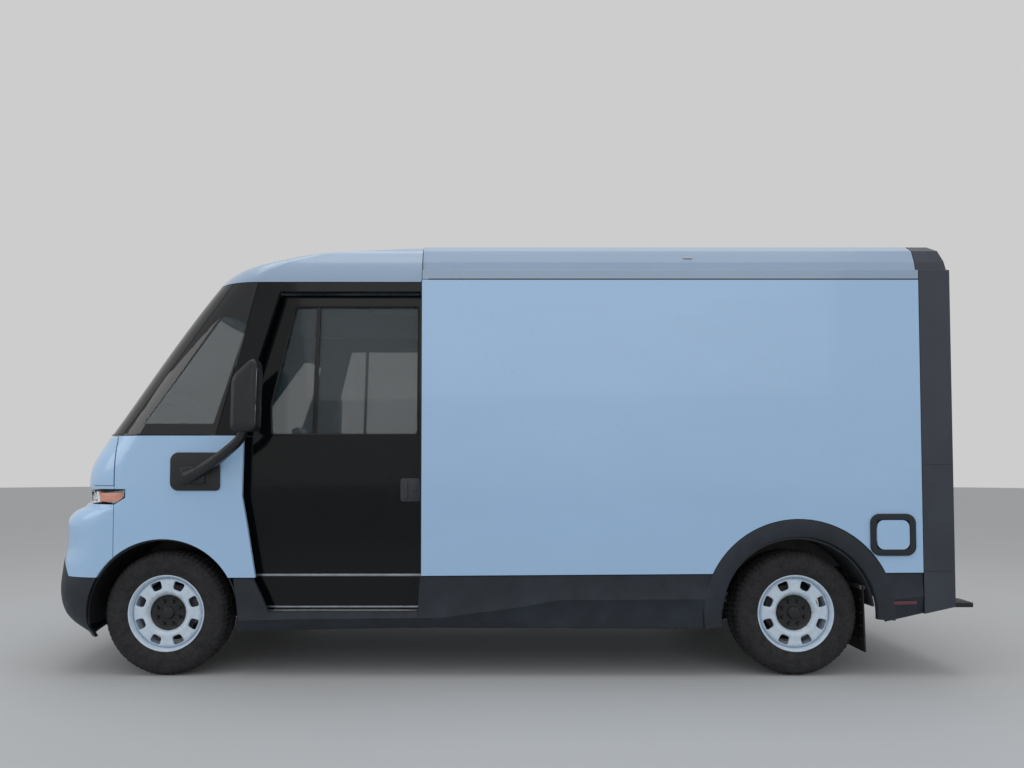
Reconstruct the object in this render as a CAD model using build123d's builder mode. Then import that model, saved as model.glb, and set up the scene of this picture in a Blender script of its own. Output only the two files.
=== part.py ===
from build123d import *
import math
import os

# Electric walk-in cargo van, in millimetres.
# +X points to the front, +Y to the left, +Z up.  The origin is on the ground, under the
# middle of the whole van.  Side-view outlines are lists of (distance behind the front axle,
# height above the ground).

# ---------------------------------------------------------------- driving dimensions
wheelbase = 3886
nose_reach = 835            # front axle to the foremost point of the bumper
tail_reach = 948            # rear axle to the rear face of the body
step_reach = 140            # rear face of the body to the edge of the rear step
body_width = 2150
belt_height = 1480          # bottom of the glass
floor_height = 640          # top of the cab floor
eaves_height = 2425         # where the roof starts
roof_height = 2722

tyre_diameter = 764
tyre_width = 245
wheel_track = 1800          # distance between the wheels' middle planes
spindle_radius = 30
running_gap = 0.05          # radial clearance of a shaft in its bore
kingpin_inset = 50          # kingpin axis to the front wheel's middle plane
kingpin_radius = 18
front_arch_gap = 81         # tyre to the front wheel arch
rear_arch_gap = 90
rear_trim_width = 114

skin = 25                   # thickness of a painted outer panel
glass = 8
pillar_depth = 45           # thickness of the cab's window frame
seam = 4                    # gap between neighbouring panels
slide_gap = 10              # clearance beside a sliding door
door_recess = 100           # outer face of the side door behind the outer skin
door_thickness = 40
door_top = 2362
door_foot = 412
door_rear = 1605            # rear edge of the side door
door_travel = 850
pocket_spare = 115          # room behind an open side door
pillar_b = 1578             # front edge of the cargo body
crown_radius = 3500         # plan curve across the nose and windscreen
corner_radius = 330         # plan radius between nose and flank
screen_recess = 8           # the glass stands this far behind the hood's surface

# ---------------------------------------------------------------- derived places
half_width = body_width / 2
front_arch_radius = tyre_diameter / 2 + front_arch_gap
rear_arch_radius = tyre_diameter / 2 + rear_arch_gap
wheel_plane = wheel_track / 2
pocket_rear = door_rear + door_travel + pocket_spare
overall_length = nose_reach + wheelbase + tail_reach + step_reach
front_axle_x = overall_length / 2 - nose_reach
axle_height = tyre_diameter / 2
body_rear = wheelbase + tail_reach
portal_front = body_rear - 189      # front edge of the dark rear portal
door_outer = half_width - door_recess
door_inner = door_outer - door_thickness
cabin_half = door_inner - slide_gap         # half width of what stands beside the doors
floor_half = half_width - 375               # half width of the cab floor between the steps
far = 3000                                  # longer than any cut needs


def aft(distance):
    """X of a place that lies this far behind the front axle."""
    return front_axle_x - distance


os.makedirs("parts", exist_ok=True)


def save(piece, label):
    """Name a finished piece and write it."""
    piece.part.label = label
    export_step(piece.part, "parts/" + label + ".step")


def side_slab(outline, inner=-far, outer=far, rounding=0):
    """A side-view outline carried across the van, from y = inner to y = outer."""
    plane = Plane(origin=(0, inner, 0), x_dir=(1, 0, 0), z_dir=(0, -1, 0))
    with BuildPart() as slab:
        with BuildSketch(plane) as sketch:
            with BuildLine():
                Polyline([(aft(x), z) for x, z in outline], close=True)
            make_face()
            if rounding:
                fillet(sketch.vertices(), rounding)
        extrude(amount=inner - outer)
    return slab.part


def block(x_front, x_rear, y_low, y_high, z_low, z_high):
    """A block between two distances aft, two sides and two heights."""
    return side_slab([(x_front, z_low), (x_rear, z_low), (x_rear, z_high), (x_front, z_high)],
                     y_low, y_high)


def disc(x, z, radius, y_low, y_high):
    """A cylinder across the van, centred at (distance aft, height)."""
    plane = Plane(origin=(aft(x), y_low, z), x_dir=(1, 0, 0), z_dir=(0, 1, 0))
    with BuildPart() as cylinder:
        with BuildSketch(plane):
            Circle(radius)
        extrude(amount=y_high - y_low)
    return cylinder.part


# ---------------------------------------------------------------- the cab's outer form
# Each level of the cab is one plan outline: a wide front curve, two corner arcs and straight
# flanks.  A level is (height, how far the front stands ahead of the front axle, half width).
cab_tail = 2600             # the cab's form runs on behind the cab and is cut off there

nose_levels = [(235, 640), (300, 720), (370, 795), (440, 825), (530, 835), (640, 824),
               (740, 806), (890, 797), (960, 788), (1000, 756), (1035, 686)]
brow_levels = [(1035, 686), (1060, 671), (1158, 663), (1272, 652), (1348, 617), (1405, 580),
               (1490, 530)]
screen_levels = [(1490, 530 - screen_recess), (1756, 342 - screen_recess * 0.7),
                 (2165, 52 - screen_recess * 0.3), (eaves_height, -150)]
roof_levels = [(eaves_height, -150, 0), (2470, -190, 7), (2506, -235, 17), (2535, -285, 27),
               (2575, -400, 45), (2615, -560, 65), (2650, -880, 100), (2675, -1180, 145),
               (2692, -1450, 215), (2708, -1700, 350), (roof_height, -1950, 560)]


def plan_face(height, ahead, narrowing, inset):
    """The cab's plan outline at one height, moved inwards by inset."""
    corner = corner_radius - inset
    crown = crown_radius - inset
    half = half_width - narrowing - inset
    crown_centre = front_axle_x + ahead - inset - crown
    corner_x = crown_centre + math.sqrt((crown - corner) ** 2 - (half - corner) ** 2)
    corner_y = half - corner
    turn = math.atan2(corner_y, corner_x - crown_centre)
    middle = (turn + math.pi / 2) / 2
    tangent = (crown_centre + crown * math.cos(turn), crown * math.sin(turn))
    shoulder = (corner_x + corner * math.cos(middle), corner_y + corner * math.sin(middle))
    tip = (crown_centre + crown, 0)
    with BuildSketch(Plane.XY.offset(height)) as plan:
        with BuildLine():
            Polyline((corner_x, -half), (aft(cab_tail), -half), (aft(cab_tail), half),
                     (corner_x, half))
            ThreePointArc((corner_x, half), shoulder, tangent)
            ThreePointArc(tangent, tip, (tangent[0], -tangent[1]))
            ThreePointArc((tangent[0], -tangent[1]), (shoulder[0], -shoulder[1]),
                          (corner_x, -half))
        make_face()
    return plan.sketch.faces()[0]


def cab_form(inset):
    """The cab as one solid, with its surface moved inwards by inset."""
    roof_rise = roof_height - eaves_height
    with BuildPart() as form:
        for levels in (nose_levels, brow_levels, screen_levels):
            loft(sections=[plan_face(z, ahead, 0, inset) for z, ahead in levels])
        loft(sections=[plan_face(z - inset * (z - eaves_height) / roof_rise, ahead, narrow,
                                 inset)
                       for z, ahead, narrow in roof_levels])
    return form.part


cab_outside = cab_form(0)
cab_behind_glass = cab_form(glass)
cab_behind_skin = cab_form(skin)
cab_behind_pillar = cab_form(pillar_depth)
cab_lining = cab_form(60)

# ---------------------------------------------------------------- lines seen from the side
opening_edge = [(714, 2403), (549, 1865), (488, 1479), (482, 1106), (515, 928), (565, 629),
                (646, 396)]
pillar_front_edge = [(574, 2421), (568, 2403), (424, 1865), (320, belt_height + 3)]
screen_side_edge = [(-270, belt_height + 3), (405, eaves_height)]
hood_seam = -303
hood_foot = 1172
hood_top = belt_height - 10
lamp_outline = [(-900, 1059), (-300, 1059), (-236, 1100), (-236, 1146), (-900, 1146)]
lamp_hole = [(-910, 1055), (-298, 1055), (-231, 1097), (-231, 1150), (-910, 1150)]
bumper_line = [(hood_seam, 608), (-600, 610), (-690, 740), (-900, 800)]
lamp_inner = half_width - 555       # the head lamps start this far from the middle

# ---------------------------------------------------------------- cab panels
with BuildPart() as cab_roof:
    add(cab_outside)
    add(cab_behind_skin, mode=Mode.SUBTRACT)
    add(block(-900, pillar_b, -far, far, eaves_height + 2, far), mode=Mode.INTERSECT)
save(cab_roof, "cab_roof")

with BuildPart() as windscreen:
    add(cab_outside)
    add(cab_behind_glass, mode=Mode.SUBTRACT)
    add(side_slab([(-900, belt_height + 10), screen_side_edge[0], (405, eaves_height - 2),
                   (-900, eaves_height - 2)]), mode=Mode.INTERSECT)
save(windscreen, "windscreen")

with BuildPart() as quarter_glass:
    add(cab_outside)
    add(cab_behind_glass, mode=Mode.SUBTRACT)
    add(side_slab([(x + 6, z) for x, z in screen_side_edge]
                  + [(x - seam, z) for x, z in pillar_front_edge]), mode=Mode.INTERSECT)
save(quarter_glass, "quarter_glass")

clear_half = half_width - 205
screen_clear = block(-900, 700, -clear_half, clear_half, 1550, 2335)
quarter_clear = side_slab([(-148, 1540), (353, 2238), (513, 2152), (311, 1540)], rounding=22)
pillar_cover = side_slab(pillar_front_edge + [(488, belt_height + 3), (549, 1865), (714, 2403),
                                              (720, eaves_height - 2)])
door_header = side_slab([(700, door_top + 5), (pillar_b - 3, door_top + 5),
                         (pillar_b - 3, eaves_height - 2), (712, eaves_height - 2)])
frame_region = side_slab([(-900, belt_height + 3), (330, belt_height + 3), (434, 1865),
                          (580, eaves_height - 2), (-900, eaves_height - 2)])

with BuildPart() as cab_frame:
    add(cab_behind_glass)
    add(cab_behind_pillar, mode=Mode.SUBTRACT)
    add(frame_region, mode=Mode.INTERSECT)
    add(screen_clear, mode=Mode.SUBTRACT)
    add(quarter_clear, mode=Mode.SUBTRACT)
    with BuildPart(mode=Mode.PRIVATE) as outer_posts:
        add(cab_outside)
        add(cab_behind_pillar, mode=Mode.SUBTRACT)
        with BuildPart(mode=Mode.PRIVATE) as post_region:
            add(pillar_cover)
            add(door_header)
        add(post_region.part, mode=Mode.INTERSECT)
    add(outer_posts.part)
save(cab_frame, "cab_frame")

front_arch = disc(0, axle_height, front_arch_radius, -far, far)

with BuildPart() as fenders:
    add(cab_outside)
    add(cab_behind_skin, mode=Mode.SUBTRACT)
    add(side_slab([(hood_seam + seam, 611), (567, 611), (565, 629), (515, 928), (482, 1106),
                   (488, belt_height - 3), (hood_seam + seam, belt_height - 3)]),
        mode=Mode.INTERSECT)
    add(front_arch, mode=Mode.SUBTRACT)
    add(side_slab(lamp_hole), mode=Mode.SUBTRACT)
save(fenders, "fenders")

with BuildPart() as nose_panel:
    add(cab_outside)
    add(cab_behind_skin, mode=Mode.SUBTRACT)
    add(side_slab([(x, z + 3) for x, z in bumper_line]
                  + [(-900, hood_foot - seam), (hood_seam, hood_foot - seam)]),
        mode=Mode.INTERSECT)
    add(front_arch, mode=Mode.SUBTRACT)
    for side in (-1, 1):
        low, high = sorted((side * (lamp_inner - 4), side * far))
        add(side_slab(lamp_hole, low, high), mode=Mode.SUBTRACT)
save(nose_panel, "nose_panel")

with BuildPart() as hood:
    add(cab_outside)
    add(cab_behind_skin, mode=Mode.SUBTRACT)
    with BuildPart(mode=Mode.PRIVATE) as hem_rebate:
        add(cab_behind_glass)
        add(block(-900, 0, -far, far, hood_top - 60, hood_top + 60), mode=Mode.INTERSECT)
    add(hem_rebate.part, mode=Mode.SUBTRACT)
    add(block(-900, hood_seam - seam, -far, far, hood_foot, hood_top), mode=Mode.INTERSECT)
save(hood, "hood")

beam_front = -620                 # front cross beam of the frame, its front and rear faces
beam_rear = -560

with BuildPart() as front_bumper:
    add(cab_outside)
    add(cab_behind_skin, mode=Mode.SUBTRACT)
    add(side_slab([(-900, 200), (-250, 200), *bumper_line]), mode=Mode.INTERSECT)
    add(front_arch, mode=Mode.SUBTRACT)
save(front_bumper, "front_bumper")

with BuildPart() as headlamps:
    add(cab_outside)
    add(cab_lining, mode=Mode.SUBTRACT)
    add(side_slab(lamp_outline), mode=Mode.INTERSECT)
    add(block(-900, 0, -lamp_inner, lamp_inner, 1000, 1200), mode=Mode.SUBTRACT)
save(headlamps, "headlamps")

# Wheel arch liners: a half tube over each front wheel with an inner wall.
liner_outer = front_arch_radius - 3
liner_wall = 8
liner_inboard = wheel_plane - 360
with BuildPart() as arch_liners:
    for side in (-1, 1):
        low, high = sorted((side * liner_inboard, side * (half_width - skin - 2)))
        add(disc(0, axle_height, liner_outer, low, high))
    for side in (-1, 1):
        low, high = sorted((side * (liner_inboard + liner_wall), side * far))
        add(disc(0, axle_height, liner_outer - liner_wall, low, high), mode=Mode.SUBTRACT)
    add(block(-900, 900, -far, far, -far, axle_height - 60), mode=Mode.SUBTRACT)
    add(disc(0, axle_height, 215, -far, far), mode=Mode.SUBTRACT)
save(arch_liners, "arch_liners")

# ---------------------------------------------------------------- cargo body
rear_arch = disc(wheelbase, axle_height, rear_arch_radius + rear_trim_width, -far, far)
port_x = wheelbase + 572            # middle of the charge port
port_z = 872
port_ring = (276, 255)              # outer size of the port's surround
port_hole = (222, 206)
flap_size = (196, 178)
side_foot = (622, 642)              # bottom of the white side, front and rear

for label, side in (("cargo_side_left", 1), ("cargo_side_right", -1)):
    low, high = sorted((side * (half_width - skin), side * half_width))
    jamb_low, jamb_high = sorted((side * (door_outer + slide_gap), side * (half_width - skin)))
    with BuildPart() as cargo_side:
        add(side_slab([(pillar_b + 2, side_foot[0]), (portal_front - seam, side_foot[1]),
                       (portal_front - seam, eaves_height + 15),
                       (pillar_b + 2, eaves_height + 15)], low, high))
        add(block(pillar_b + 2, pillar_b + 22, jamb_low, jamb_high, side_foot[0], door_top))
        add(rear_arch, mode=Mode.SUBTRACT)
        if side > 0:
            add(block(port_x - port_hole[0] / 2 - 3, port_x + port_hole[0] / 2 + 3, low, high,
                      port_z - port_hole[1] / 2 - 3, port_z + port_hole[1] / 2 + 3),
                mode=Mode.SUBTRACT)
    save(cargo_side, label)

# The roof's cross-section: a rail band on each side, a cove that leans inwards, and a crown.
roof_rail_top = 2512
roof_section = [(half_width, eaves_height + 19), (half_width, roof_rail_top - 12),
                (half_width - 34, roof_rail_top), (half_width - 46, 2560),
                (half_width - 80, 2640), (half_width - 150, 2683), (half_width - 350, 2706),
                (half_width - 560, roof_height)]
roof_wall = 30


def roof_face(x, foot):
    """The roof's section at this distance aft, carried down to foot."""
    outline = [(half_width, foot)] + roof_section[1:]
    with BuildSketch(Plane(origin=(aft(x), 0, 0), x_dir=(0, 1, 0), z_dir=(1, 0, 0))) as face:
        with BuildLine():
            Polyline([(-y, z) for y, z in outline] + [(y, z) for y, z in reversed(outline)],
                     close=True)
        make_face()
    return face.sketch


roof_foot = roof_section[0][1]
roof_length = portal_front - 2 * seam - pillar_b
with BuildPart() as cargo_roof:
    extrude(roof_face(portal_front - seam, roof_foot - 2 * roof_wall), amount=roof_length)
    hollow = offset(roof_face(portal_front, roof_foot - 2 * roof_wall), amount=-roof_wall,
                    kind=Kind.INTERSECTION, mode=Mode.PRIVATE)
    extrude(hollow, amount=roof_length + 2 * seam, mode=Mode.SUBTRACT)
    add(block(pillar_b - 10, portal_front + 10, -far, far, 0, roof_foot), mode=Mode.SUBTRACT)
save(cargo_roof, "cargo_roof")

# The rear portal: the dark frame round the rear doorway, with a rounded top rear edge.
doorway_half = half_width - 170
doorway_foot = 690
doorway_top = 2480
tail_lamp_z = (1440, 1950)
tail_lamp_y = (half_width - 90, half_width - 13)
tail_lamp_depth = 36
with BuildPart() as rear_portal:
    extrude(roof_face(body_rear, 380), amount=body_rear - portal_front)
    with BuildPart(mode=Mode.PRIVATE) as portal_profile:
        add(side_slab([(portal_front, 392), (body_rear, 434), (body_rear, 2500),
                       (body_rear - 8, 2570), (body_rear - 28, 2640), (body_rear - 62, 2690),
                       (body_rear - 110, roof_height), (portal_front, roof_height)]))
    add(portal_profile.part, mode=Mode.INTERSECT)
    add(block(portal_front - 10, body_rear + 10, -doorway_half, doorway_half, doorway_foot,
              doorway_top), mode=Mode.SUBTRACT)
    for side in (-1, 1):
        low, high = sorted((side * (tail_lamp_y[0] - 3), side * (tail_lamp_y[1] + 3)))
        add(block(body_rear - tail_lamp_depth - 2, body_rear + 10, low, high,
                  tail_lamp_z[0] - 3, tail_lamp_z[1] + 3), mode=Mode.SUBTRACT)
save(rear_portal, "rear_portal")

with BuildPart() as tail_lamps:
    for side in (-1, 1):
        low, high = sorted((side * tail_lamp_y[0], side * tail_lamp_y[1]))
        add(block(body_rear - tail_lamp_depth, body_rear + 2, low, high, *tail_lamp_z))
save(tail_lamps, "tail_lamps")

# The roller door is one curtain of slats with a groove between each two.
slat_pitch = 75
curtain_front = body_rear - 69
curtain_rear = body_rear - 44
with BuildPart() as roller_door:
    add(block(curtain_front, curtain_rear, 2 - doorway_half, doorway_half - 2,
              doorway_foot + 2, doorway_top - 2))
    grooves = int((doorway_top - doorway_foot) / slat_pitch)
    for row in range(1, grooves):
        level = doorway_foot + row * slat_pitch
        add(block(curtain_rear - 5, curtain_rear + 1, -doorway_half, doorway_half,
                  level - 3, level + 3), mode=Mode.SUBTRACT)
save(roller_door, "roller_door")

with BuildPart() as rear_step:
    add(block(body_rear, body_rear + step_reach, 215 - half_width, half_width - 215, 425, 455))
    fillet(rear_step.edges().filter_by(Axis.Z).group_by(Axis.X)[0], 40)
save(rear_step, "rear_step")

# Side skirts: sill, rear wheel trim and the cladding behind the rear wheel.
skirt_depth = 40
with BuildPart() as side_skirts:
    for side in (-1, 1):
        low, high = sorted((side * (half_width - skirt_depth), side * half_width))
        add(side_slab([(430, 607), (568, 607), (646, 400), (pillar_b - 20, 400),
                       (pillar_b - 6, 618), (portal_front - seam, side_foot[1] - 3),
                       (portal_front - seam, 390), (wheelbase + 479, 327),
                       (wheelbase - 498, 294), (1632, 302),
                       (1143, 297), (531, 282), (430, 282)], low, high))
    add(front_arch, mode=Mode.SUBTRACT)
    for side in (-1, 1):
        low, high = sorted((side * (half_width - skirt_depth), side * (half_width + 4)))
        with BuildPart(mode=Mode.PRIVATE) as trim:
            add(disc(wheelbase, axle_height, rear_arch_radius + rear_trim_width - 2, low,
                     high))
            add(block(wheelbase - 686, wheelbase + 714, -far, far, -far, 320),
                mode=Mode.SUBTRACT)
        add(trim.part)
    add(disc(wheelbase, axle_height, rear_arch_radius, -far, far), mode=Mode.SUBTRACT)
save(side_skirts, "side_skirts")

flap_x = wheelbase + tyre_diameter / 2 + 32
with BuildPart() as mudflaps:
    for side in (-1, 1):
        low, high = sorted((side * (wheel_plane - 110), side * (wheel_plane + 120)))
        add(side_slab([(flap_x, 148), (flap_x + 9, 148), (flap_x - 1, 560), (flap_x - 10, 560)],
                      low, high))
save(mudflaps, "mudflaps")

# ---------------------------------------------------------------- charge port
def port_slab(size, inner, outer, radius, shift=0):
    """A rounded plate round the port's middle, between two y planes."""
    plane = Plane(origin=(aft(port_x + shift), inner, port_z), x_dir=(1, 0, 0),
                  z_dir=(0, 1, 0))
    with BuildPart() as plate:
        with BuildSketch(plane):
            RectangleRounded(size[0], size[1], radius)
        extrude(amount=outer - inner)
    return plate.part


hinge_x = port_x - flap_size[0] / 2 - 4       # the flap's hinge, beside its front edge
hinge_pin = 2
barrel_half = 40
lug_height = 8


def upright(radius, z, height):
    """A vertical cylinder on the flap's hinge axis, centred at this height."""
    with BuildPart() as cylinder:
        with BuildSketch(Plane(origin=(aft(hinge_x), half_width + 5, z - height / 2))):
            Circle(radius)
        extrude(amount=height)
    return cylinder.part


with BuildPart() as charge_socket:
    add(port_slab(port_ring, half_width, half_width + 9, 58))
    add(port_slab((port_hole[0], port_hole[1]), half_width - 75, half_width, 40))
    add(port_slab((port_hole[0] - 8, port_hole[1] - 8), half_width - 70, half_width + 9, 38),
        mode=Mode.SUBTRACT)
    add(disc(port_x, port_z + 20, 34, half_width - 70, half_width - 30))
    add(disc(port_x, port_z - 42, 26, half_width - 70, half_width - 30))
    for level in (-1, 1):
        add(upright(3.2, port_z + level * (barrel_half + lug_height / 2 + 0.5), lug_height))
        with Locations((aft(hinge_x - 4), half_width + 5,
                        port_z + level * (barrel_half + lug_height / 2 + 0.5))):
            Box(8, 4, lug_height)
    add(upright(hinge_pin, port_z, 2 * barrel_half + lug_height))
save(charge_socket, "charge_socket")

with BuildPart() as charge_flap:
    add(port_slab(flap_size, half_width + 3, half_width + 9, 42))
    add(upright(4, port_z, 2 * barrel_half))
    add(upright(hinge_pin + running_gap, port_z, 2 * barrel_half), mode=Mode.SUBTRACT)
save(charge_flap, "charge_flap")

# ---------------------------------------------------------------- under the body
rail_y = (380, 460)
rail_z = (430, 590)
battery_front = 620
battery_rear = wheelbase - 586
battery_half = floor_half - 60
bulkhead_x = 1800
bulkhead_wall = 25
pocket_wall = 10
narrow_half = cabin_half - pocket_wall - 1      # half width of the floors beside the pockets
box_reach = 440             # rear wheel box, half length
with BuildPart() as chassis_frame:
    for side in (-1, 1):
        low, high = sorted((side * rail_y[0], side * rail_y[1]))
        add(block(beam_rear, portal_front - 10, low, high, *rail_z))
    for place in (beam_rear + 30, battery_front - 60, (battery_front + battery_rear) / 2,
                  battery_rear, wheelbase + 414, portal_front - 55):
        add(block(place - 30, place + 30, -rail_y[0], rail_y[0], 450, 570))
    add(block(beam_front, beam_rear, -battery_half, battery_half, 440, 560))
    for place in (bulkhead_x + bulkhead_wall / 2, 2200, pocket_rear - 120):
        add(block(place - 25, place + 25, -narrow_half, narrow_half, rail_z[1], floor_height))
    for place in (pocket_rear + 230, wheelbase - box_reach - 196, portal_front - 95):
        add(block(place - 25, place + 25, 75 - half_width, half_width - 75, rail_z[1],
                  floor_height))
save(chassis_frame, "chassis_frame")

with BuildPart() as battery_pack:
    add(block(battery_front, battery_rear, -battery_half, battery_half, 255, 425))
    fillet(battery_pack.edges().filter_by(Axis.Z), 40)
save(battery_pack, "battery_pack")

firewall_x = front_arch_radius + 25
with BuildPart() as cab_floor:
    add(block(firewall_x + 22, pillar_b - 8, -floor_half, floor_half, floor_height - 40,
              floor_height))
    add(block(pillar_b - 8, bulkhead_x - 16, -narrow_half, narrow_half, floor_height - 40,
              floor_height))
    add(block(firewall_x, firewall_x + 22, -cabin_half, cabin_half, floor_height - 40, 1300))
    for side in (-1, 1):
        low, high = sorted((side * (floor_half - 10), side * floor_half))
        add(block(600, pillar_b - 8, low, high, 392, floor_height - 40))
        low, high = sorted((side * (floor_half - 10), side * (half_width - skirt_depth - 4)))
        add(block(600, pillar_b - 8, low, high, 392, 402))
        low, high = sorted((side * floor_half, side * cabin_half))
        add(block(600, 610, low, high, 402, floor_height))
        add(block(firewall_x + 22, 600, low, high, floor_height - 10, floor_height))
        add(block(pillar_b - 18, pillar_b - 8, low, high, 402, floor_height))
save(cab_floor, "cab_floor")

box_inboard = wheel_plane - 160
box_wall = 15
box_top = 860
cargo_floor_top = floor_height + 40
cargo_half = half_width - skirt_depth - 5
with BuildPart() as cargo_floor:
    add(block(bulkhead_x + bulkhead_wall + 2, pocket_rear, -narrow_half, narrow_half,
              floor_height, cargo_floor_top))
    add(block(pocket_rear + 2, portal_front - seam, -cargo_half, cargo_half, floor_height,
              cargo_floor_top))
    add(block(pocket_rear - 1, pocket_rear + 3, -narrow_half, narrow_half, floor_height,
              cargo_floor_top))
    for side in (-1, 1):
        low, high = sorted((side * box_inboard, side * cargo_half))
        add(block(wheelbase - box_reach, wheelbase + box_reach, low, high, floor_height,
                  box_top))
        low, high = sorted((side * (box_inboard + box_wall), side * far))
        add(block(wheelbase - box_reach + box_wall, wheelbase + box_reach - box_wall, low,
                  high, floor_height - 10, box_top - box_wall), mode=Mode.SUBTRACT)
save(cargo_floor, "cargo_floor")

# The bulkhead closes the cab, and carries the inner walls of the side doors' pockets.
doorway_cab = 330
cab_door_top = 2420
with BuildPart() as bulkhead:
    with BuildSketch(Plane(origin=(aft(bulkhead_x + bulkhead_wall), 0, 0), x_dir=(0, 1, 0),
                           z_dir=(1, 0, 0))):
        with BuildLine():
            Polyline((-cabin_half, floor_height), (cabin_half, floor_height),
                     (cabin_half, 2500), (cabin_half - 105, 2630), (105 - cabin_half, 2630),
                     (-cabin_half, 2500),
                     close=True)
        make_face()
    extrude(amount=bulkhead_wall)
    for side in (-1, 1):
        low, high = sorted((side * (cabin_half - pocket_wall), side * cabin_half))
        add(block(pillar_b + 22, pocket_rear, low, high, floor_height, 2440))
    add(block(bulkhead_x - 10, bulkhead_x + bulkhead_wall + 10, -doorway_cab, doorway_cab,
              cargo_floor_top, cab_door_top), mode=Mode.SUBTRACT)
save(bulkhead, "bulkhead")

with BuildPart() as bulkhead_door:
    add(block(bulkhead_x + bulkhead_wall + 8, bulkhead_x + bulkhead_wall + 33,
              -doorway_cab - 12, doorway_cab + 12, cargo_floor_top + 8, cab_door_top + 12))
    add(block(bulkhead_x, bulkhead_x + 100, -170, 170, 1500, 2050), mode=Mode.SUBTRACT)
save(bulkhead_door, "bulkhead_door")

# ---------------------------------------------------------------- inside the cab
with BuildPart() as dashboard:
    add(side_slab([(-330, 1385), (-250, 1425), (380, 1425), (560, 1390), (625, 1290),
                   (600, 1150), (560, 1060), (520, 1060), (520, 1310), (480, 1345),
                   (-300, 1345)], -cabin_half + 5, cabin_half - 5))
    add(cab_lining, mode=Mode.INTERSECT)
save(dashboard, "dashboard")

driver_y = half_width * 0.4
wheel_centre = (760, 1400)          # steering wheel, distance aft and height
column_angle = 40                   # steering shaft above the horizontal
rim_radius = 198
column_direction = (-math.cos(math.radians(column_angle)), 0,
                    math.sin(math.radians(column_angle)))


def column_plane(offset):
    """A plane square to the steering shaft, this far towards the driver from the wheel."""
    return Plane(origin=(aft(wheel_centre[0]) + column_direction[0] * offset, driver_y,
                         wheel_centre[1] + column_direction[2] * offset),
                 x_dir=(0, 1, 0), z_dir=column_direction)


with BuildPart() as steering_wheel:
    with BuildSketch(column_plane(-14)):
        Circle(rim_radius)
        Circle(rim_radius - 30, mode=Mode.SUBTRACT)
    extrude(amount=28)
    with BuildSketch(column_plane(-30)):
        Circle(70)
    extrude(amount=40)
    with BuildSketch(column_plane(-8)):
        Rectangle(2 * rim_radius - 40, 38)
        with Locations((0, -rim_radius / 2)):
            Rectangle(38, rim_radius - 30)
    extrude(amount=16)
save(steering_wheel, "steering_wheel")

with BuildPart() as steering_column:
    with BuildSketch(column_plane(-36)):
        Circle(52)
    extrude(amount=-110)
    add(dashboard.part, mode=Mode.SUBTRACT)
save(steering_column, "steering_column")

seat_front = 1010
seat_rear = 1500
seat_half = 240
seat_pan = 950
seats = (("driver_seat", driver_y), ("passenger_seat", -driver_y - 90))
with BuildPart() as seat_bases:
    for name, y in seats:
        add(block(seat_front + 90, seat_rear - 60, y - 190, y + 190, floor_height, seat_pan - 30))
        add(block(seat_front + 30, seat_rear - 10, y - 225, y + 225, seat_pan - 30, seat_pan))
save(seat_bases, "seat_bases")

for name, y in seats:
    with BuildPart() as seat:
        add(side_slab([(seat_front, seat_pan + 2), (seat_rear, seat_pan + 2),
                       (seat_rear, seat_pan + 110), (seat_front, seat_pan + 130)],
                      y - seat_half, y + seat_half, rounding=30))
        add(side_slab([(seat_rear - 70, seat_pan + 60), (seat_rear + 50, seat_pan + 60),
                       (seat_rear + 135, 1740), (seat_rear + 40, 1750)],
                      y - seat_half + 5, y + seat_half - 5, rounding=30))
        add(side_slab([(seat_rear + 55, 1720), (seat_rear + 130, 1720),
                       (seat_rear + 150, 1920), (seat_rear + 55, 1920)],
                      y - 125, y + 125, rounding=30))
    save(seat, name)

# ---------------------------------------------------------------- sliding side doors
door_outline = [(671, door_top), (519, 1865), (458, 1479), (452, 1106), (485, 928),
                (535, 629), (612, door_foot), (door_rear, door_foot), (door_rear, door_top)]
window_outline = [(773, 2299), (1556, 2299), (1552, 1483), (629, 1483), (623, 1675)]
divider = [(909, 2299), (934, 2299), (909, 1483), (884, 1483)]
for name, side in (("left", 1), ("right", -1)):
    low, high = sorted((side * door_inner, side * door_outer))
    pane_low, pane_high = sorted((side * (door_outer - 26), side * (door_outer - 20)))
    bar_low, bar_high = sorted((side * (door_outer - 20), side * (door_outer - 4)))
    window = side_slab(window_outline, low - 1, high + 1, rounding=26)
    with BuildPart() as cab_door:
        add(side_slab(door_outline, low, high))
        add(window, mode=Mode.SUBTRACT)
        with BuildPart(mode=Mode.PRIVATE) as bar:
            add(side_slab(divider, bar_low, bar_high))
            add(window, mode=Mode.INTERSECT)
        add(bar.part)
    save(cab_door, "cab_door_" + name)
    with BuildPart() as door_glass:
        add(side_slab(window_outline, pane_low, pane_high, rounding=26))
    save(door_glass, "door_glass_" + name)

# ---------------------------------------------------------------- mirrors
with BuildPart() as mirrors:
    for side in (1, -1):
        low, high = sorted((side * half_width, side * (half_width + 14)))
        add(side_slab([(44, 1170), (44, 1344), (74, 1374), (350, 1374), (350, 1140),
                       (74, 1140)], low, high))
        with BuildLine(mode=Mode.PRIVATE) as reach:
            FilletPolyline((aft(255), side * (half_width + 24), 1262),
                           (aft(300), side * (half_width + 75), 1290),
                           (aft(520), side * (half_width + 150), 1450),
                           (aft(550), side * (half_width + 170), 1540), radius=30)
        with BuildSketch(Plane(origin=reach.line @ 0, z_dir=reach.line % 0)) as arm_section:
            Circle(32)
        sweep(arm_section.sketch, path=reach.line)
        low, high = sorted((side * (half_width + 105), side * (half_width + 255)))
        add(side_slab([(474, 1510), (500, 1493), (615, 1493), (632, 1512), (640, 1895),
                       (622, 1920), (600, 1918), (500, 1830), (482, 1790)], low, high))
save(mirrors, "mirrors")

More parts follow.
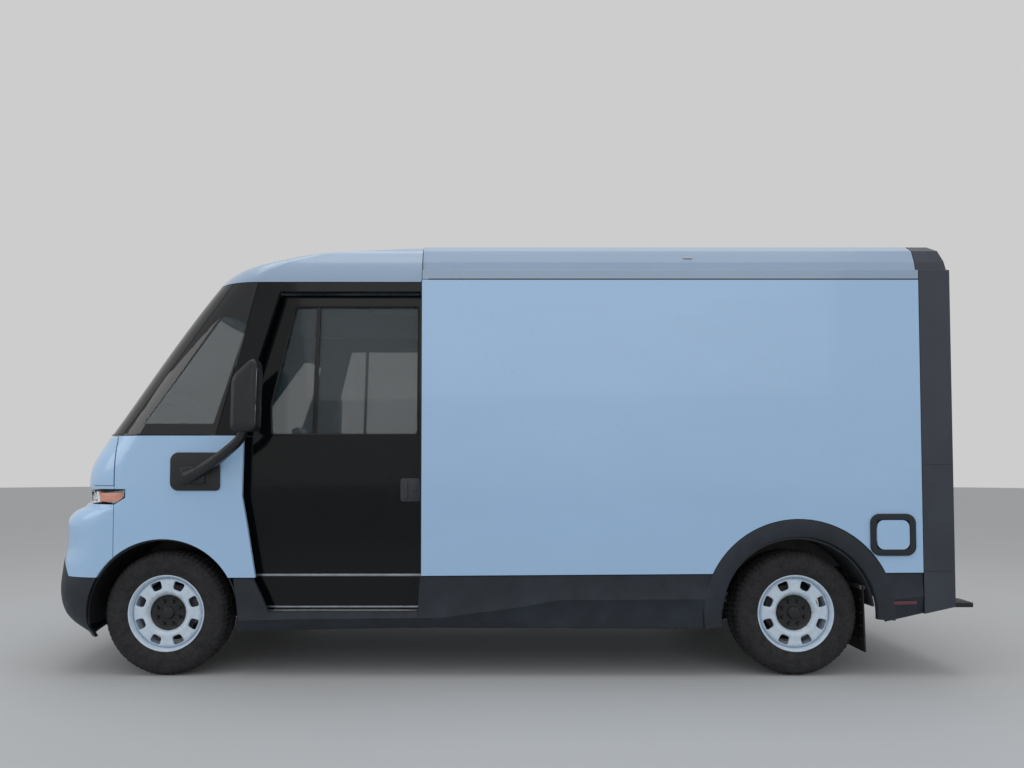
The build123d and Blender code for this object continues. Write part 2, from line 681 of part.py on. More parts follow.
# ---------------------------------------------------------------- axles and steering
kingpin_y = wheel_plane - kingpin_inset
hub_face = wheel_plane + 58
boss_z = (axle_height - 96, axle_height + 96)

with BuildPart() as front_suspension:
    add(block(-70, 70, -330, 330, boss_z[0] - 50, boss_z[0]))
    for side in (-1, 1):
        low, high = sorted((side * 320, side * (kingpin_y + 36)))
        add(block(-34, 34, low, high, boss_z[0] - 34, boss_z[0] - 4))
        low, high = sorted((side * (rail_y[1] + 1), side * (kingpin_y + 30)))
        add(block(-28, 28, low, high, boss_z[1] + 4, boss_z[1] + 30))
        with BuildSketch(Plane(origin=(aft(0), side * kingpin_y, boss_z[0] - 10))):
            Circle(kingpin_radius)
        extrude(amount=boss_z[1] - boss_z[0] + 20)
save(front_suspension, "front_suspension")

for name, side in (("left", 1), ("right", -1)):
    low, high = sorted((side * kingpin_y, side * hub_face))
    with BuildPart() as knuckle:
        with BuildSketch(Plane(origin=(aft(0), side * kingpin_y, boss_z[0]))):
            Circle(2 * kingpin_radius)
        extrude(amount=boss_z[1] - boss_z[0])
        add(disc(0, axle_height, spindle_radius, low, high))
        arm_low, arm_high = sorted((side * (kingpin_y - 30), side * (kingpin_y + 20)))
        add(block(0, 150, arm_low, arm_high, axle_height - 70, axle_height - 45))
        with BuildSketch(Plane(origin=(aft(0), side * kingpin_y, boss_z[0] - 1))):
            Circle(kingpin_radius + running_gap)
        extrude(amount=boss_z[1] - boss_z[0] + 2, mode=Mode.SUBTRACT)
    save(knuckle, "knuckle_" + name)

with BuildPart() as drive_unit:
    add(block(-180, 240, -230, 230, axle_height - 90, axle_height + 163))
    fillet(drive_unit.edges().filter_by(Axis.Y), 40)
    add(disc(0, axle_height, 26, 210 - kingpin_y, kingpin_y - 210))
save(drive_unit, "drive_unit")

spring_line = [(-560, 138), (-540, 158), (-200, 70), (200, 70), (540, 158), (560, 138),
               (200, 43), (-200, 43)]
with BuildPart() as rear_axle:
    add(disc(wheelbase, axle_height, 46, 120 - wheel_plane, wheel_plane - 120))
    add(disc(wheelbase, axle_height, spindle_radius, -hub_face, hub_face))
    for side in (-1, 1):
        low, high = sorted((side * (wheel_plane - 410), side * (wheel_plane - 340)))
        add(side_slab([(wheelbase + reach, axle_height + rise) for reach, rise in spring_line],
                      low, high))
save(rear_axle, "rear_axle")

# ---------------------------------------------------------------- wheels and tyres
rim_half = 106
window_count = 8
window_circle = 172


def wheel_sketch(points, x, side):
    """A half section of (radius, distance outboard of the wheel's middle) as a sketch."""
    plane = Plane(origin=(aft(x), side * wheel_plane, axle_height), x_dir=(1, 0, 0),
                  z_dir=(0, 0, 1))
    with BuildSketch(plane) as section:
        with BuildLine():
            Polyline([(r, side * s) for r, s in points], close=True)
        make_face()
    return section.sketch


rim_points = [(spindle_radius + running_gap, -8), (spindle_radius + running_gap, 56),
              (104, 56), (112, 62), (122, 88), (140, 92), (200, 90), (214, 96), (222, rim_half),
              (236, rim_half), (236, rim_half - 8), (226, rim_half - 14), (222, 70), (205, 40),
              (205, -40), (222, -80), (226, -rim_half + 14), (236, -rim_half + 8),
              (236, -rim_half), (222, -rim_half), (214, -76), (197, -40), (197, 40), (204, 74),
              (190, 78), (140, 80), (118, 74), (104, 44), (78, 40), (70, -8)]
tyre_half = tyre_width / 2
tread_radius = tyre_diameter / 2
tyre_points = [(226.5, rim_half - 14.5), (222.5, 70), (205.5, 40), (205.5, -40),
               (222.5, -80), (226.5, -rim_half + 14.5), (245, -rim_half + 4),
               (290, -tyre_half), (335, -tyre_half + 3), (366, -tyre_half + 16),
               (377, -tyre_half + 32), (tread_radius, -tyre_half + 55),
               (tread_radius, tyre_half - 55), (377, tyre_half - 32), (366, tyre_half - 16),
               (335, tyre_half - 3), (290, tyre_half), (245, rim_half - 4)]

wheel_places = (("front_left", 0, 1), ("front_right", 0, -1), ("rear_left", wheelbase, 1),
                ("rear_right", wheelbase, -1))
for name, x, side in wheel_places:
    spin_axis = Axis((aft(x), side * wheel_plane, axle_height), (0, 1, 0))
    with BuildPart() as wheel:
        revolve(wheel_sketch(rim_points, x, side), axis=spin_axis)
        plane = Plane(origin=(aft(x), side * wheel_plane, axle_height), x_dir=(0, 0, 1),
                      z_dir=(0, side, 0))
        with BuildSketch(plane.offset(60)):
            with PolarLocations(window_circle, window_count):
                Trapezoid(66, 58, 100, rotation=-90)
        extrude(amount=60, mode=Mode.SUBTRACT)
    save(wheel, "wheel_" + name)
    with BuildPart() as tyre:
        revolve(wheel_sketch(tyre_points, x, side), axis=spin_axis)
    save(tyre, "tyre_" + name)
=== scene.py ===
import math
import bmesh
import bpy
import numpy as np
from bpy.props import FloatProperty, FloatVectorProperty, IntProperty, PointerProperty
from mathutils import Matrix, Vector


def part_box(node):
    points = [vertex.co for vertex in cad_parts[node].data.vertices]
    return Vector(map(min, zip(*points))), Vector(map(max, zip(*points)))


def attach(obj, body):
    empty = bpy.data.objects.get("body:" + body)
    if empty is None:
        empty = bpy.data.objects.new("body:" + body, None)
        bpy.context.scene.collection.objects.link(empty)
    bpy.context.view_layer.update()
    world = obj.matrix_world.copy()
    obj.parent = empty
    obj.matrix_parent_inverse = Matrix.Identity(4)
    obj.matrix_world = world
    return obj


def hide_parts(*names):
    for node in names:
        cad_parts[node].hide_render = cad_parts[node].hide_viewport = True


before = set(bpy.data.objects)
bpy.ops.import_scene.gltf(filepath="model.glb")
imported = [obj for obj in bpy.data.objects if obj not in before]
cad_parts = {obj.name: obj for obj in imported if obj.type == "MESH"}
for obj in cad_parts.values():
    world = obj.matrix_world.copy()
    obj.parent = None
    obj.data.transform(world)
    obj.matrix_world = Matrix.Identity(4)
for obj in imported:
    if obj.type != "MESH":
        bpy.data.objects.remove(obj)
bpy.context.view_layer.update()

bl_info = {
    "name": "Electric Cargo Van",
    "version": (1, 0, 0),
    "blender": (4, 5, 0),
    "location": "View3D > Sidebar > Van",
    "description": "Builds the surfaces and finishes of an electric cargo van round its frame",
    "category": "Add Mesh",
}

# ------------------------------------------------------------------ places from the frame
# Metres, +X to the front, +Y to the left, +Z up.
front_wheel = [sum(pair) / 2 for pair in zip(*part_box("tyre_front_left"))]
rear_wheel = [sum(pair) / 2 for pair in zip(*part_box("tyre_rear_left"))]
side_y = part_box("cargo_side_left")[1].y
door_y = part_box("cab_door_left")[1].y
TYRE_RADIUS = front_wheel[2]
LEFT, RIGHT = 1, -1
SIDES = ((LEFT, "left"), (RIGHT, "right"))


def aft(distance):
    """X of a place this far behind the front axle."""
    return front_wheel[0] - distance


# ------------------------------------------------------------------ surfaces
def grid_faces(rows, columns, wrap_rows=False, wrap_columns=False):
    """Quads between neighbouring points of a grid. A wrapped direction meets its own start."""
    r = np.arange(rows if wrap_rows else rows - 1)
    c = np.arange(columns if wrap_columns else columns - 1)
    r, c = np.meshgrid(r, c, indexing="ij")
    r2, c2 = (r + 1) % rows, (c + 1) % columns
    corners = [r * columns + c, r2 * columns + c, r2 * columns + c2, r * columns + c2]
    return np.stack(corners, -1).reshape(-1, 4)


def sheet_of(points, wrap_rows=False, wrap_columns=False):
    """A grid of points, rows x columns x 3, as a patch: its points and its quads."""
    rows, columns = points.shape[:2]
    return points.reshape(-1, 3), grid_faces(rows, columns, wrap_rows, wrap_columns)


def unit(vector):
    vector = np.asarray(vector, float)
    return vector / np.linalg.norm(vector)


def across(axis):
    """Two directions square to axis and to each other."""
    axis = unit(axis)
    helper = np.array([0, 0, 1.0]) if abs(axis[2]) < 0.9 else np.array([1.0, 0, 0])
    first = unit(np.cross(helper, axis))
    return first, np.cross(axis, first)


def lathe(profile, origin, axis, steps=48, ripple=None):
    """A profile of (radius, distance along the axis) turned about the axis: the point at
    (row, angle) is origin + distance * axis + radius * (cos, sin) in the plane across it.
    ripple(angle, radius, distance) may return new radii and distances."""
    profile = np.asarray(profile, float)
    angle = np.linspace(0, 2 * np.pi, steps, endpoint=False)
    radius, along = np.broadcast_arrays(profile[:, None, 0], profile[:, None, 1])
    radius = np.repeat(radius, steps, 1)
    along = np.repeat(along, steps, 1)
    if ripple:
        radius, along = ripple(np.broadcast_to(angle, radius.shape), radius, along)
    u, v = across(axis)
    points = (np.asarray(origin, float) + along[..., None] * unit(axis)
              + (radius * np.cos(angle))[..., None] * u
              + (radius * np.sin(angle))[..., None] * v)
    return sheet_of(points, wrap_columns=True)


def ring(radius, tube, origin, axis, steps=64, sides=12, flat=1.0):
    """A torus: a circle of radius tube carried round a circle; flat squeezes it along the axis."""
    turn = np.linspace(0, 2 * np.pi, sides, endpoint=False)
    profile = np.stack([radius + tube * np.cos(turn), flat * tube * np.sin(turn)], 1)
    points, _ = lathe(profile, origin, axis, steps)
    return points, grid_faces(sides, steps, True, True)


def rounded_loop(corners, radius, steps=6):
    """A closed 2-D outline with each corner replaced by a short arc: a quadratic curve from
    one side to the next, tangent to both, starting radius away from the corner."""
    corners = np.asarray(corners, float)
    radius = np.broadcast_to(radius, len(corners))
    before = np.roll(corners, 1, 0) - corners
    after = np.roll(corners, -1, 0) - corners
    reach = np.minimum(radius, 0.49 * np.minimum(np.linalg.norm(before, axis=1),
                                                 np.linalg.norm(after, axis=1)))[:, None]
    start = corners + reach * before / np.linalg.norm(before, axis=1)[:, None]
    end = corners + reach * after / np.linalg.norm(after, axis=1)[:, None]
    t = np.linspace(0, 1, steps + 1)[None, :, None]
    bend = (1 - t) ** 2 * start[:, None] + 2 * t * (1 - t) * corners[:, None] + t ** 2 * end[:, None]
    return bend.reshape(-1, 2)


def even_loop(outline, count):
    """The same closed outline with count points, evenly spaced along it."""
    outline = np.asarray(outline, float)
    closed = np.vstack([outline, outline[:1]])
    length = np.concatenate([[0], np.cumsum(np.linalg.norm(np.diff(closed, axis=0), axis=1))])
    at = np.linspace(0, length[-1], count, endpoint=False)
    return np.stack([np.interp(at, length, closed[:, k]) for k in (0, 1)], 1)


def shrink(outline, amount):
    """A closed outline moved inwards by amount, along the mean of its neighbours' normals."""
    ahead = np.roll(outline, -1, 0) - np.roll(outline, 1, 0)
    normal = np.stack([-ahead[:, 1], ahead[:, 0]], 1)
    normal /= np.linalg.norm(normal, axis=1)[:, None] + 1e-12
    x, y = outline.T
    area = 0.5 * np.sum(x * np.roll(y, -1) - np.roll(x, -1) * y)
    return outline + normal * amount * np.sign(area)


def plate(outline, origin, u, v, depth, edge=0.002, crown=0.0, steps=3, place=None):
    """A plate with softened edges. Two parameters: the place along the outline, and a level
    that runs from the middle of the back, round the edge, to the middle of the front.
    depth points along u x v. crown lifts the middle of the front, as the square of the way in.
    place(points) may bend the result."""
    outline = np.asarray(outline, float)
    edge = min(edge, abs(depth) * 0.49)
    quarter = np.linspace(0, np.pi / 2, steps + 1)
    middle = outline.mean(0)
    levels = [(np.tile(middle, (len(outline), 1)), 0.0)]
    levels += [(shrink(outline, edge * (1 - np.sin(a))), edge * (1 - np.cos(a))) for a in quarter]
    levels += [(shrink(outline, edge * (1 - np.cos(a))), depth - edge * (1 - np.sin(a)))
               for a in quarter]
    rim = shrink(outline, edge)
    if crown:
        levels += [(middle + (rim - middle) * s, depth + crown * (1 - s * s))
                   for s in (0.85, 0.65, 0.4)]
    levels += [(np.tile(middle, (len(outline), 1)), depth + crown)]
    flat = np.stack([level for level, _ in levels])
    height = np.array([h for _, h in levels])[:, None, None]
    u, v = np.asarray(u, float), np.asarray(v, float)
    points = (np.asarray(origin, float) + flat[..., :1] * u + flat[..., 1:] * v
              + height * np.cross(u, v))
    if place:
        points = place(points)
    return sheet_of(points, wrap_columns=True)


def side_plate(outline, side, low, high, edge=0.002, crown=0.0):
    """A plate on the van's flank: outline in (distance aft, height), from low to high in y,
    measured from the middle of the van to the side given."""
    outline = np.asarray(outline, float).copy()
    outline[:, 0] = aft(0) - outline[:, 0]
    if side == LEFT:
        return plate(outline[:, ::-1], (0, low, 0), (0, 0, 1), (1, 0, 0), high - low, edge, crown)
    return plate(outline, (0, -low, 0), (1, 0, 0), (0, 0, 1), high - low, edge, crown)


def carry(path, profile, up=(0, 0, 1), close=False, capped=True, scale=None):
    """A closed profile carried along a path: at each point of the path it stands square to
    the path, with its second coordinate as near to up as it can be. scale is one factor for
    each point of the path."""
    path = np.asarray(path, float)
    profile = np.asarray(profile, float)
    if close:
        ahead = np.roll(path, -1, 0) - np.roll(path, 1, 0)
    else:
        ahead = np.gradient(path, axis=0)
    ahead /= np.linalg.norm(ahead, axis=1)[:, None]
    sideways = np.cross(np.asarray(up, float), ahead)
    sideways /= np.linalg.norm(sideways, axis=1)[:, None] + 1e-12
    upright = np.cross(ahead, sideways)
    scale = np.ones(len(path)) if scale is None else np.asarray(scale, float)
    points = (path[:, None] + profile[None, :, :1] * sideways[:, None] * scale[:, None, None]
              + profile[None, :, 1:] * upright[:, None] * scale[:, None, None])
    if capped and not close:
        first = np.repeat(path[:1, None], len(profile), 1)
        last = np.repeat(path[-1:, None], len(profile), 1)
        points = np.concatenate([first, points, last])
    return sheet_of(points, wrap_rows=close, wrap_columns=True)


def round_profile(radius, sides=10, flat=1.0):
    """A circle, or an ellipse squeezed by flat, as a closed profile."""
    turn = np.linspace(0, 2 * np.pi, sides, endpoint=False)
    return np.stack([radius * np.cos(turn), flat * radius * np.sin(turn)], 1)


def smooth_path(points, count=40):
    """A Catmull-Rom curve through the points, evenly stepped."""
    p = np.asarray(points, float)
    p = np.vstack([2 * p[0] - p[1], p, 2 * p[-1] - p[-2]])
    at = np.linspace(0, len(p) - 3 - 1e-9, count)
    k = at.astype(int)
    t = (at - k)[:, None]
    a, b, c, d = p[k], p[k + 1], p[k + 2], p[k + 3]
    return 0.5 * (2 * b + (c - a) * t + (2 * a - 5 * b + 4 * c - d) * t ** 2
                  + (3 * b - 3 * c + d - a) * t ** 3)


def soft_block(low, high, radius, steps=4):
    """A box with round edges: a sphere whose eight parts are pushed apart to the corners."""
    low, high = np.asarray(low, float), np.asarray(high, float)
    radius = min(radius, 0.499 * float((high - low).min()))
    lat = np.linspace(0, np.pi / 2, steps + 1)
    lat = np.concatenate([lat, np.pi / 2 + lat])
    lon = np.concatenate([k * np.pi / 2 + np.linspace(0, np.pi / 2, steps + 1) for k in range(4)])
    sign_z = np.repeat([1.0, -1.0], steps + 1)
    sign_x = np.repeat([1.0, -1.0, -1.0, 1.0], steps + 1)
    sign_y = np.repeat([1.0, 1.0, -1.0, -1.0], steps + 1)
    half = (high - low) / 2 - radius
    lat, lon = np.meshgrid(lat, lon, indexing="ij")
    points = np.stack([radius * np.sin(lat) * np.cos(lon) + sign_x * half[0],
                       radius * np.sin(lat) * np.sin(lon) + sign_y * half[1],
                       radius * np.cos(lat) + sign_z[:, None] * half[2]], -1)
    top = points[:1].mean(1, keepdims=True).repeat(points.shape[1], 1)
    bottom = points[-1:].mean(1, keepdims=True).repeat(points.shape[1], 1)
    points = np.concatenate([top, points, bottom]) + (low + high) / 2
    return sheet_of(points, wrap_columns=True)


def box_between(front, rear, y_low, y_high, z_low, z_high, radius=0.003, steps=2):
    """A soft block between two distances aft, two sides and two heights."""
    y_low, y_high = sorted((y_low, y_high))
    return soft_block((aft(rear), y_low, z_low), (aft(front), y_high, z_high), radius, steps)


def mirrored(patch):
    """The patch reflected to the other side of the van, still facing outwards."""
    return patch[0] * (1, -1, 1), patch[1][:, ::-1]


def on_side(patch, side):
    """A patch made for the left side, or its reflection on the right."""
    return patch if side == LEFT else mirrored(patch)


def once(side, node):
    """The node that both sides' pieces replace, named by the left one alone."""
    return [node] if side == LEFT else ()


def rect(left, right, low, high):
    """The corners of a rectangle, anticlockwise from the first."""
    return [(left, low), (right, low), (right, high), (left, high)]


def scattered(patch, places):
    """Copies of one patch at many places, as a single patch."""
    points, faces = patch
    places = np.asarray(places, float)
    all_points = (places[:, None] + points[None]).reshape(-1, 3)
    step = np.arange(len(places))[:, None, None] * len(points)
    return all_points, (faces[None] + step).reshape(-1, 4)


def make(name, body, finish, patches, sharp=35, replaces=()):
    """Joins patches into one mesh object that rides on a body. Doubled points are merged and
    the faces turned outwards, so poles and seams are closed."""
    if not isinstance(patches, list):
        patches = [patches]
    start = np.cumsum([0] + [len(points) for points, _ in patches])
    points = np.concatenate([points for points, _ in patches])
    faces = np.concatenate([faces + base for (_, faces), base in zip(patches, start)])
    mesh = bpy.data.meshes.new(name)
    mesh.vertices.add(len(points))
    mesh.vertices.foreach_set("co", points.astype(np.float32).ravel())
    mesh.loops.add(faces.size)
    mesh.loops.foreach_set("vertex_index", faces.astype(np.int32).ravel())
    mesh.polygons.add(len(faces))
    mesh.polygons.foreach_set("loop_start", np.arange(0, faces.size, 4, dtype=np.int32))
    mesh.update(calc_edges=True)
    tidy = bmesh.new()
    tidy.from_mesh(mesh)
    bmesh.ops.remove_doubles(tidy, verts=tidy.verts, dist=2e-6)
    bmesh.ops.dissolve_degenerate(tidy, edges=tidy.edges, dist=1e-6)
    bmesh.ops.recalc_face_normals(tidy, faces=tidy.faces)
    tidy.to_mesh(mesh)
    tidy.free()
    mesh.shade_smooth()
    mesh.set_sharp_from_angle(angle=math.radians(sharp))
    piece = bpy.data.objects.new(name, mesh)
    bpy.context.scene.collection.objects.link(piece)
    mesh.materials.append(finish)
    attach(piece, body)
    if replaces:
        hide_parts(*replaces)
    return piece


# ------------------------------------------------------------------ finishes
class Finish:
    """A material under construction: one Principled shader and short calls to feed it."""

    def __init__(self, name, colour, rough=0.5, metal=0.0, **sockets):
        self.material = bpy.data.materials.new(name)
        self.material.use_nodes = True
        self.tree = self.material.node_tree
        self.shader = self.tree.nodes["Principled BSDF"]
        self.colour = colour
        self.set("Base Color", (*colour, 1))
        self.set("Roughness", rough)
        self.set("Metallic", metal)
        for key, value in sockets.items():
            self.set(key.replace("_", " "), value)
        self.place = self.node("ShaderNodeTexCoord").outputs["Object"]

    def node(self, kind, **values):
        made = self.tree.nodes.new(kind)
        for key, value in values.items():
            setattr(made, key, value)
        return made

    def set(self, socket, value):
        self.shader.inputs[socket].default_value = value

    def link(self, output, target):
        self.tree.links.new(output, target)

    def stretch(self, scale):
        """Object coordinates, scaled."""
        mapping = self.node("ShaderNodeMapping")
        mapping.inputs["Scale"].default_value = scale
        self.link(self.place, mapping.inputs["Vector"])
        return mapping.outputs["Vector"]

    def noise(self, scale, detail=3.0, rough=0.5, stretch=None):
        made = self.node("ShaderNodeTexNoise")
        made.inputs["Scale"].default_value = scale
        made.inputs["Detail"].default_value = detail
        made.inputs["Roughness"].default_value = rough
        self.link(self.stretch(stretch) if stretch else self.place, made.inputs["Vector"])
        return made.outputs["Fac"]

    def cells(self, scale, stretch=None):
        made = self.node("ShaderNodeTexVoronoi")
        made.inputs["Scale"].default_value = scale
        self.link(self.stretch(stretch) if stretch else self.place, made.inputs["Vector"])
        return made.outputs["Distance"]

    def math(self, operation, first, second=0.0, third=0.0):
        made = self.node("ShaderNodeMath", operation=operation)
        for socket, value in zip(made.inputs, (first, second, third)):
            if isinstance(value, (int, float)):
                socket.default_value = value
            else:
                self.link(value, socket)
        return made.outputs[0]

    def ramp(self, value, stops):
        made = self.node("ShaderNodeValToRGB")
        elements = made.color_ramp.elements
        while len(elements) < len(stops):
            elements.new(0.5)
        for element, (at, colour) in zip(elements, stops):
            element.position = at
            element.color = (*colour, 1) if hasattr(colour, "__len__") else (colour,) * 3 + (1,)
        self.link(value, made.inputs["Fac"])
        return made.outputs["Color"]

    def vary(self, value, amount, low=0.35, high=0.65):
        """Lets a pattern darken and lighten the base colour by amount."""
        dark = tuple(max(c * (1 - amount), 0) for c in self.colour)
        light = tuple(min(c * (1 + amount), 1) for c in self.colour)
        self.link(self.ramp(value, [(low, dark), (high, light)]), self.shader.inputs["Base Color"])

    def rough_by(self, value, low_rough, high_rough, low=0.3, high=0.7):
        stops = [(low, low_rough), (high, high_rough)]
        self.link(self.ramp(value, stops), self.shader.inputs["Roughness"])

    def bump(self, value, height, distance=0.001):
        made = self.node("ShaderNodeBump")
        made.inputs["Strength"].default_value = height
        made.inputs["Distance"].default_value = distance
        self.link(value, made.inputs["Height"])
        self.link(made.outputs["Normal"], self.shader.inputs["Normal"])
        return made

    def axis(self, name):
        parts = self.node("ShaderNodeSeparateXYZ")
        self.link(self.place, parts.inputs[0])
        return parts.outputs[name]

    def inside(self, value, low, high, soft=0.002):
        """1 where value lies between low and high, 0 elsewhere, with a soft edge."""
        rise = self.node("ShaderNodeMapRange", interpolation_type="SMOOTHSTEP")
        fall = self.node("ShaderNodeMapRange", interpolation_type="SMOOTHSTEP")
        self.link(value, rise.inputs["Value"])
        self.link(value, fall.inputs["Value"])
        for socket, number in (("From Min", low - soft), ("From Max", low + soft)):
            rise.inputs[socket].default_value = number
        for socket, number in (("From Min", high - soft), ("From Max", high + soft),
                               ("To Min", 1.0), ("To Max", 0.0)):
            fall.inputs[socket].default_value = number
        return self.math("MULTIPLY", rise.outputs[0], fall.outputs[0])


# ------------------------------------------------------------------ colours and sizes
class VanColours(bpy.types.PropertyGroup):
    body: FloatVectorProperty(name="Body", description="Painted panels", subtype="COLOR",
                              size=3, min=0, max=1, default=(0.38, 0.59, 0.86))
    # Roof colour: the body colour darkened, painted shade standing in for the shade on the roof's shoulder
    roof: FloatVectorProperty(name="Roof", description="Roof panels", subtype="COLOR",
                              size=3, min=0, max=1, default=(0.30, 0.41, 0.56))
    cladding: FloatVectorProperty(name="Cladding", description="Bumper, skirts and trims",
                                  subtype="COLOR", size=3, min=0, max=1,
                                  default=(0.012, 0.018, 0.028))
    portal: FloatVectorProperty(name="Portal", description="Rear frame", subtype="COLOR",
                                size=3, min=0, max=1, default=(0.026, 0.034, 0.050))
    cloth: FloatVectorProperty(name="Seat cloth", description="Woven seat covers",
                               subtype="COLOR", size=3, min=0, max=1,
                               default=(0.16, 0.20, 0.24))
    glass: FloatVectorProperty(name="Glass tint", description="Tint of the windows",
                               subtype="COLOR", size=3, min=0, max=1,
                               default=(0.05, 0.075, 0.085))


class VanSizes(bpy.types.PropertyGroup):
    wheel_windows: IntProperty(name="Wheel windows", description="Openings in a wheel's disc",
                               min=4, max=12, default=8)
    wheel_nuts: IntProperty(name="Wheel nuts", description="Nuts on each hub", min=4, max=10,
                            default=8)
    tread_blocks: IntProperty(name="Tread blocks", description="Blocks round a tyre", min=30,
                              max=120, default=72)
    seal: FloatProperty(name="Seal", description="Width of the door window's rubber seal",
                        unit="LENGTH", min=0.004, max=0.02, default=0.011)
    lens: FloatProperty(name="Lens length", description="Focal length of the stage's camera",
                        subtype="DISTANCE_CAMERA", min=18, max=90, default=28.1)


def colours():
    return bpy.context.scene.van_colours


def sizes():
    return bpy.context.scene.van_sizes


def body_paint(name="body_paint", colour=None):
    """Solid paint under clear coat, with faint orange peel and faint patches of lighter and darker tone."""
    made = Finish(name, colour or tuple(colours().body), 0.3, Coat_Weight=0.7,
                  Coat_Roughness=0.06, Specular_IOR_Level=0.5)
    patches = made.noise(0.9, 4, 0.6, (1.0, 1.0, 2.6))
    made.vary(patches, 0.016)
    made.rough_by(made.noise(2.2, 3), 0.27, 0.32)
    made.bump(made.noise(420, 2), 0.05, 0.0006)
    return made.material


# Body paint in the darker roof colour: a shaded copy of the body paint, painted shade for the roof
def roof_paint():
    return body_paint("roof_paint", tuple(colours().roof))


def cladding():
    """Moulded grained plastic, greyer where dust settles."""
    made = Finish("cladding", tuple(colours().cladding), 0.5, Specular_IOR_Level=0.45)
    made.vary(made.noise(5.0, 5, 0.65), 0.3)
    made.rough_by(made.noise(14, 4), 0.42, 0.62)
    made.bump(made.cells(1100), 0.25, 0.0005)
    return made.material


def portal_paint():
    """Satin dark paint of the rear frame."""
    made = Finish("portal_paint", tuple(colours().portal), 0.42, Coat_Weight=0.2,
                  Coat_Roughness=0.25)
    made.vary(made.noise(3.0, 4), 0.12)
    made.bump(made.noise(600, 2), 0.08, 0.0005)
    return made.material


def gloss_black():
    """Gloss black of the doors and pillars, with wiped smears in its shine."""
    made = Finish("gloss_black", (0.003, 0.004, 0.005), 0.08, Coat_Weight=0.15,
                  Coat_Roughness=0.03, Specular_IOR_Level=0.22)
    made.rough_by(made.noise(7, 5, 0.6, (1, 1, 0.35)), 0.05, 0.16)
    made.bump(made.noise(3.0, 2), 0.06, 0.004)
    return made.material


def window(name, clear_of=None):
    """Tinted glass, seen through where clear_of says 1 and printed black elsewhere."""
    made = Finish(name, tuple(colours().glass), 0.03, Specular_IOR_Level=0.6)
    made.rough_by(made.noise(5, 4), 0.02, 0.05)
    if clear_of:
        clear = clear_of(made)
        made.link(made.math("MULTIPLY_ADD", clear, -0.60, 1.0), made.shader.inputs["Alpha"])
        made.link(made.ramp(clear, [(0.2, (0.004, 0.005, 0.007)), (0.8, tuple(colours().glass))]),
                  made.shader.inputs["Base Color"])
    else:
        made.set("Alpha", 0.42)
    return made.material


def screen_glass():
    def clear(made):
        height = made.inside(made.axis("Z"), 1.56, 2.325, 0.006)
        width = made.inside(made.axis("Y"), -0.86, 0.86, 0.006)
        return made.math("MULTIPLY", height, width)
    return window("screen_glass", clear)


def quarter_glass():
    def clear(made):
        height = made.inside(made.axis("Z"), 1.55, 2.21, 0.004)
        lean = made.math("MULTIPLY_ADD", made.axis("Z"), 0.718, made.axis("X"))
        front = aft(-0.148) + 0.718 * 1.54
        slope = made.inside(lean, front - 0.52, front - 0.012, 0.004)
        back = made.math("MULTIPLY_ADD", made.axis("Z"), 0.330, made.axis("X"))
        rear = aft(0.311) + 0.330 * 1.54
        edge = made.inside(back, rear + 0.012, rear + 1.0, 0.004)
        return made.math("MULTIPLY", height, made.math("MULTIPLY", slope, edge))
    return window("quarter_glass", clear)


def tyre_rubber():
    """Black rubber with a dry brownish bloom and fine grain."""
    made = Finish("tyre_rubber", (0.022, 0.022, 0.024), 0.78, Specular_IOR_Level=0.35)
    made.vary(made.noise(22, 5, 0.7), 0.35)
    made.rough_by(made.noise(60, 3), 0.66, 0.9)
    made.bump(made.noise(900, 3), 0.25, 0.0006)
    return made.material


def soft_rubber():
    made = Finish("soft_rubber", (0.008, 0.008, 0.009), 0.6)
    made.vary(made.noise(40, 3), 0.2)
    made.bump(made.noise(700, 2), 0.15, 0.0004)
    return made.material


def wheel_paint():
    """Pale grey wheel paint with faint patches of brake dust."""
    made = Finish("wheel_paint", (0.60, 0.71, 0.83), 0.32, Coat_Weight=0.35,
                  Coat_Roughness=0.12)
    made.vary(made.noise(30, 5, 0.7), 0.08)
    made.rough_by(made.noise(45, 4), 0.26, 0.46)
    made.bump(made.noise(350, 2), 0.06, 0.0005)
    return made.material


def metal(name, colour, rough, brushed=(1, 1, 1), strength=0.15):
    """Bare metal with a brushed or cast grain."""
    made = Finish(name, colour, rough, 1.0)
    grain = made.noise(260, 4, 0.6, brushed)
    made.rough_by(grain, rough * 0.75, min(rough * 1.35, 1))
    made.vary(made.noise(18, 4), 0.12)
    made.bump(grain, strength, 0.0004)
    return made.material


def plastic(name, colour, rough=0.5, grain=900, strength=0.25):
    """Moulded plastic with a leather-like grain."""
    made = Finish(name, colour, rough)
    made.vary(made.noise(12, 4), 0.08)
    made.rough_by(made.noise(30, 3), rough * 0.85, min(rough * 1.15, 1))
    made.bump(made.cells(grain), strength, 0.0004)
    return made.material


def chassis_black():
    """Black wax-coated steel, dusty and slightly rusty in patches."""
    made = Finish("chassis_black", (0.016, 0.016, 0.018), 0.55, 0.2)
    dirt = made.noise(9, 6, 0.7)
    made.link(made.ramp(dirt, [(0.35, (0.014, 0.014, 0.016)), (0.62, (0.030, 0.027, 0.024)),
                               (0.75, (0.075, 0.045, 0.028))]),
              made.shader.inputs["Base Color"])
    made.rough_by(dirt, 0.4, 0.8)
    made.bump(made.noise(220, 4), 0.2, 0.0006)
    return made.material


def lens(name, colour, alpha=0.5, ribs=0.0):
    """A lamp's moulded lens, with upright optic ribs where asked."""
    made = Finish(name, colour, 0.06, Specular_IOR_Level=0.6, Coat_Weight=0.5,
                  Coat_Roughness=0.03)
    made.set("Alpha", alpha)
    made.vary(made.noise(90, 2), 0.05)
    if ribs:
        wave = made.math("SINE", made.math("MULTIPLY", made.axis("Z"), ribs))
        made.bump(wave, 0.3, 0.001)
    return made.material


